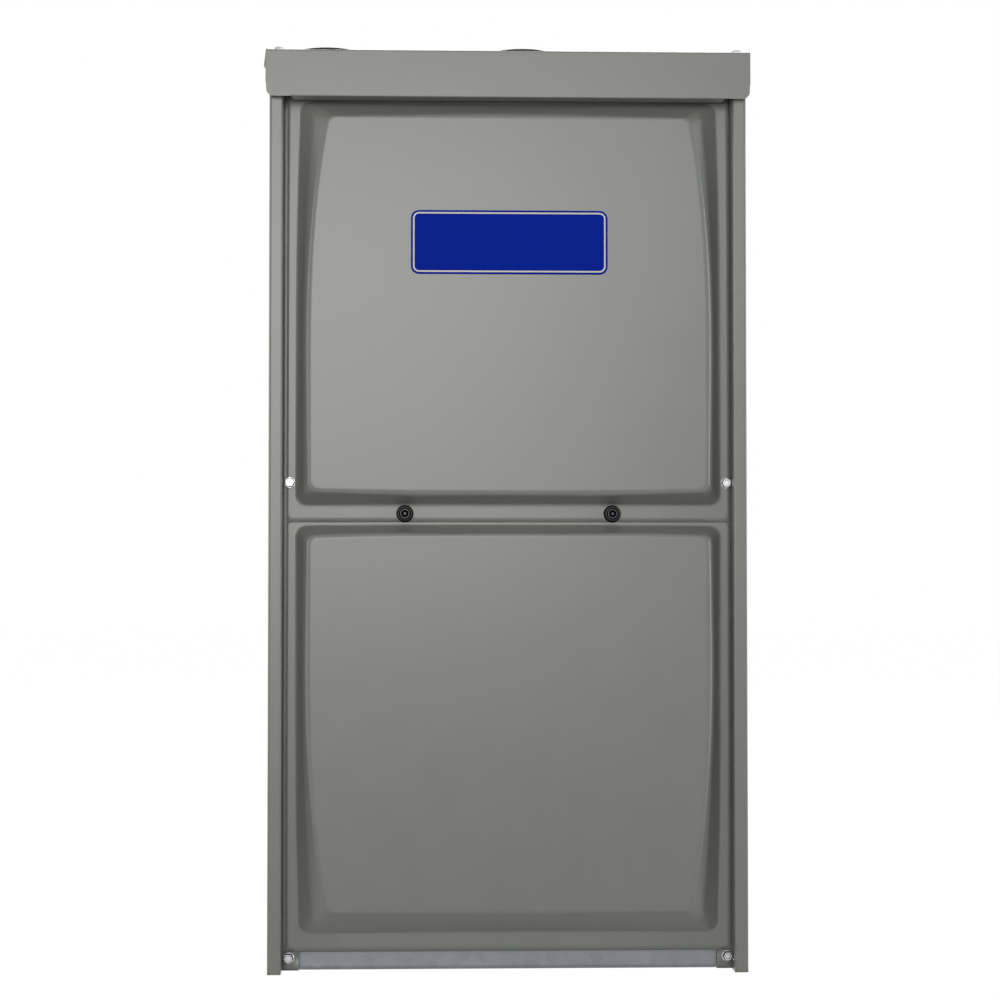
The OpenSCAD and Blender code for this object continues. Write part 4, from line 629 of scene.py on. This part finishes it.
shape = pressed_sheet(
    Outline(door_half, lower_low, lower_high, 1),
    Outline(press_half, lower_low + 16.2, lower_high - 1.4, press_corner, press_draw, lower_plain,
            lower_full, high_bow=field_bow / 2),
    Outline(field_half, lower_low + 40, lower_high - 13.8, field_corner, field_draw, lower_plain,
            lower_full, high_bow=field_bow))
# ears at the foot, in front of the returned ends of the rails
ear_root, ear_foot = door_half - 12.6, 0.6
for side in (-1, 1):
    x0, x1 = sorted((side * ear_root + door_x, side * (x_rail - 0.3)))
    corners = [shape.verts.new((x, door_y, z)) for x, z in
               ((x0, ear_foot), (x1, ear_foot), (x1, lower_low), (x0, lower_low))]
    ear = shape.faces.new(corners)
    if ear.normal.y > 0:
        ear.normal_flip()
    bmesh.ops.bevel(shape, geom=corners[:2], offset=1.0, segments=4, profile=0.5, affect="VERTICES",
                    material=-1)
for f in shape.faces:
    f.normal_update()
    if f.normal.y > 0.3 and f.calc_center_median().z < lower_low + 1.2:
        f.normal_flip()
add_piece("lower_door_panel", shape, [enamel], "lower_door", "lower_door",
          thickness=sheet_t, closed=False)

fixing_x = door_half - 3
# the doors' screws take the zinc with painted shade on their flanks
for door, z in (("upper_door", screw_high), ("lower_door", screw_low)):
    add_screws(door + "_fixings", [(door_x + side * fixing_x, door_y, z) for side in (-1, 1)],
               FORWARD @ Matrix.Rotation(radians(30), 4, "Z"), 14, door + "_screws", door, painted_shade_zinc)

# ---- Door knobs ----
# Moulded black nylon quarter-turn knobs in the upper door's foot: a domed rim, a groove, a raised inner
# ring and a small boss in its recess. The stud passes through the door and a ring holds it there.
# Glass-filled nylon: near black, satin, with a fine spark-eroded grain
nylon = new_finish("moulded black nylon", "#0d0d0f", "#141416", 0.6, (0.34, 0.44))
# The grooves and the flank keep the mould's coarse eroded skin, which throws back little light, and are
# painted a darker black: painted shade for the grooves and the flank
painted_shade_nylon = new_finish("eroded black nylon with painted shade", "#060607", "#0a0a0b", 0.6, (0.8, 0.95))
painted_shade_nylon.node_tree.nodes["Principled BSDF"].inputs["Specular IOR Level"].default_value = 0.12
knob_x, knob_z = 97, deck + 7.4
for side, name in ((-1, "left"), (1, "right")):
    shape = bmesh.new()
    turned(shape, [(0, 6.6), (1.3, 6.6), (1.6, 6.3), (1.7, 2.0), (3.2, 2.0), (3.3, 7.0), (3.5, 7.3),
                   (4.4, 7.3), (4.6, 7.0), (4.7, 3.0), (5.5, 3.0), (5.6, 7.3), (5.8, 7.6), (6.3, 7.6),
                   (6.7, 7.3), (7.3, 5.6), (7.8, 3.4), (8.0, 2.0), (8.0, 0.4), (7.8, 0.05), (3.6, 0.05),
                   (3.6, -1.35), (6.0, -1.35), (6.0, -2.2), (3.6, -2.2), (3.6, -3.0), (3.3, -3.2),
                   (0, -3.2)], 64)
    # the grooves and the outer flank take the darker nylon, which is painted shade
    for f in shape.faces:
        reach = f.calc_center_median().xy.length
        f.material_index = int(1.65 < reach < 3.25 or 4.65 < reach < 5.58 or reach > 6.65)
    seat = Matrix.Translation((side * knob_x + door_x, door_y, knob_z))
    bmesh.ops.transform(shape, matrix=seat @ FORWARD, verts=shape.verts)
    add_piece("quarter_turn_knob_" + name, shape, [nylon, painted_shade_nylon], "door_knob_" + name,
              "door_knob_" + name, crease=40)

# ---- Name plate ----
# A thin aluminium plate with round corners, screen printed blue with a pale border line, and left
# without lettering.
# Screen ink on a matt film: deep blue and cream, with the ink's faint mottle
ink = new_finish("blue screen ink", "#0a2aa9", "#0b2dad", 4.0, (0.6, 0.68), relief_mm=0.002)
line_ink = new_finish("cream border ink", "#f0ead8", "#f6f1e0", 2.0, (0.6, 0.68), relief_mm=0.002)
for each in (ink, line_ink):
    each.node_tree.nodes["Principled BSDF"].inputs["Specular IOR Level"].default_value = 0.03
plate_low, plate_high = box_mm("name_plate")
plate_middle, plate_size = (plate_low + plate_high) / 2, plate_high - plate_low
plate_corner, plate_proud = 7.5, 0.6
shape = bmesh.new()
bmesh.ops.create_grid(shape, x_segments=1, y_segments=1, size=0.5)
for v in shape.verts:
    v.co = (plate_middle.x + v.co.x * plate_size.x, plate_high.y, plate_middle.z + v.co.y * plate_size.z)
bmesh.ops.bevel(shape, geom=shape.verts[:], offset=plate_corner, segments=8, profile=0.5,
                affect="VERTICES", material=-1)
front = raise_face(shape, shape.faces[:][0], (0, -plate_proud, 0))
# the worn edge, the blue margin and the pale line, whose faces are the last that are made
for inset, rise in ((0.25, -0.2), (1.6, 0), (1.5, 0)):
    made = bmesh.ops.inset_region(shape, faces=[front], thickness=inset, use_even_offset=True)["faces"]
    bmesh.ops.translate(shape, vec=(0, rise, 0), verts=front.verts)
for f in made:
    f.material_index = 1
add_piece("name_plate_blank", shape, [ink, line_ink], "upper_door", "name_plate",
          crease=30)

# ---- Vent and combustion air pipes ----
# Two moulded rubber couplings stand in the cap, each with a flange on the lid and a socket for a 2 inch
# plastic pipe above and below, with a stop ring between them.
# Moulded rubber: black, dull, faintly pebbled
rubber = new_finish("moulded black rubber", "#0e0e10", "#151517", 1.5, (0.62, 0.75), relief_mm=0.02)
finish_nodes(rubber, "gas_grommet", "pressure_hose", "door_seals")
socket, outside, flange, stop = 30.3, 33.45, 40.45, 26.15
for node in ("vent_coupling", "intake_coupling"):
    low, high = box_mm(node)
    shape = bmesh.new()
    turned(shape, [(socket, low.z), (outside, low.z), (outside, cap_top + 0.02),
                   (flange - 0.4, cap_top + 0.02), (flange, cap_top + 0.5), (flange, cap_top + 2.4),
                   (flange - 0.8, cap_top + 3.2), (outside + 1.2, cap_top + 3.8),
                   (outside + 0.2, cap_top + 4.6), (outside, cap_top + 6), (outside, high.z - 0.7),
                   (outside - 0.2, high.z - 0.2), (outside - 0.7, high.z), (socket + 0.4, high.z),
                   (socket, high.z - 0.4), (socket, high.z - 28), (stop, high.z - 28.2),
                   (stop, high.z - 30.8), (socket, high.z - 31), (socket, low.z)], 96)
    bmesh.ops.translate(shape, vec=((low.x + high.x) / 2, (low.y + high.y) / 2, 0), verts=shape.verts)
    add_piece(node + "_sleeve", shape, [rubber], "cabinet", node, crease=40)
# Extruded PVC: grey, smooth, drawn lengthways
pvc = new_finish("extruded grey pipe", "#4c4e51", "#54565a", 5.0, (0.32, 0.42), stretch=(1, 1, 12))
finish_nodes(pvc, "vent_pipe", "intake_pipe")

# ---- Burners and gas train ----
# In-shot burners of formed stainless strip on a black iron manifold with brass orifices, fed by a die-cast
# valve with a red switch; ceramic igniter and flame rod; roll-out switches with red reset buttons.
# Mill finish stainless: bright, with the rolling lines of the strip
stainless = new_finish("mill finish stainless", "#9a9994", "#b3b2ad", 0.7, (0.22, 0.36), metallic=1.0,
                       stretch=(1, 14, 1))
finish_nodes(stainless, "burners", "coil_tubes")
# Black iron pipe: mill scale, dull and a little rough
iron = new_finish("black iron pipe", "#26272a", "#34363a", 2.5, (0.5, 0.68), metallic=0.4, relief_mm=0.05)
finish_nodes(iron, "gas_manifold")
# Turned brass: yellow and bright, with fine tool rings
brass = new_finish("turned brass", "#b08d3c", "#c9a552", 0.5, (0.22, 0.34), metallic=1.0, stretch=(1, 1, 6))
finish_nodes(brass, "gas_orifices")
# Die-cast aluminium: pale grey with a fine blasted grain
casting = new_finish("die-cast aluminium", "#a2a4a6", "#b6b8ba", 0.8, (0.42, 0.56), metallic=1.0,
                     relief_mm=0.03)
finish_nodes(casting, "gas_valve")
# Red moulded nylon: bright red, half glossy
red = new_finish("red moulded nylon", "#96160f", "#b01e15", 0.8, (0.28, 0.4))
finish_nodes(red, "gas_valve_switch", "reset_button_left", "reset_button_right")
# Fired ceramic: unglazed, cream and chalky
ceramic = new_finish("fired ceramic", "#d6d1c4", "#e6e2d8", 1.2, (0.55, 0.75), relief_mm=0.03)
finish_nodes(ceramic, "igniter", "flame_sensor", "limit_switch")
finish_nodes(nylon, "rollout_switches", "condensate_trap", "collector_box", "inducer_housing",
             "door_switch")

# ---- Heat exchanger ----
# Serpentine tubes of aluminised steel, drawn and swaged into the vestibule panel, then a coil of
# stainless tubes in aluminium fins, with insulation on the sides of the cabinet.
# Aluminised steel: heat leaves its skin straw and grey in patches of 30 mm
aluminised = new_finish("aluminised steel", "#8b877f", "#a9a69d", 30.0, (0.38, 0.55), metallic=1.0,
                        relief_mm=0.02, detail=6.0)
finish_nodes(aluminised, "primary_heat_exchanger")
# Rolled aluminium: pale and bright, with the roll's lines
fins = new_finish("rolled aluminium", "#bfc3c6", "#d3d7da", 1.0, (0.25, 0.4), metallic=1.0,
                  stretch=(1, 1, 20))
finish_nodes(fins, "coil_fins", "run_capacitor")
# Foil-faced glass wool: crumpled pale foil
wool = new_finish("foil-faced glass wool", "#b4b4ae", "#d8d8d2", 6.0, (0.5, 0.8), relief_mm=0.6, detail=6.0)
finish_nodes(wool, "side_insulation")

# ---- Inducer and blower ----
# Galvanised blower housing and wheel, spot welded; motors in dark baked enamel; the mount's band and arms
# are zinc plated.
finish_nodes(spangle, "blower_housing", "blower_wheel")
finish_nodes(zinc, "motor_mount")
# Dark baked enamel on cast and pressed steel: blue black, half matt
motor_black = new_finish("dark baked motor enamel", "#232428", "#2e3035", 1.5, (0.35, 0.5), relief_mm=0.02)
finish_nodes(motor_black, "blower_motor", "inducer_motor", "inducer_wheel")

# ---- Controls ----
# A glass-fibre board on its bracket, a transformer of varnished laminations, a moulded pressure switch,
# and the white drain hose and door switch plunger.
# Solder mask: green, glossy, with the weave just showing
board_green = new_finish("solder mask on glass fibre", "#1d5733", "#276a40", 1.2, (0.3, 0.42))
finish_nodes(board_green, "control_board")
# Varnished laminations: grey steel in fine stacked lines
core = new_finish("varnished laminations", "#54565a", "#66686c", 0.5, (0.35, 0.5), metallic=0.6,
                  stretch=(1, 40, 40))
finish_nodes(core, "transformer")
# Moulded switch case: black, half matt, finely grained
case = new_finish("moulded switch case", "#202125", "#2b2c30", 0.8, (0.4, 0.55), relief_mm=0.02)
finish_nodes(case, "pressure_switch")
# White moulded plastic: warm white, smooth
vinyl = new_finish("white moulded plastic", "#dcdcd6", "#e6e6e1", 2.0, (0.35, 0.5))
finish_nodes(vinyl, "drain_hose", "door_switch_plunger")
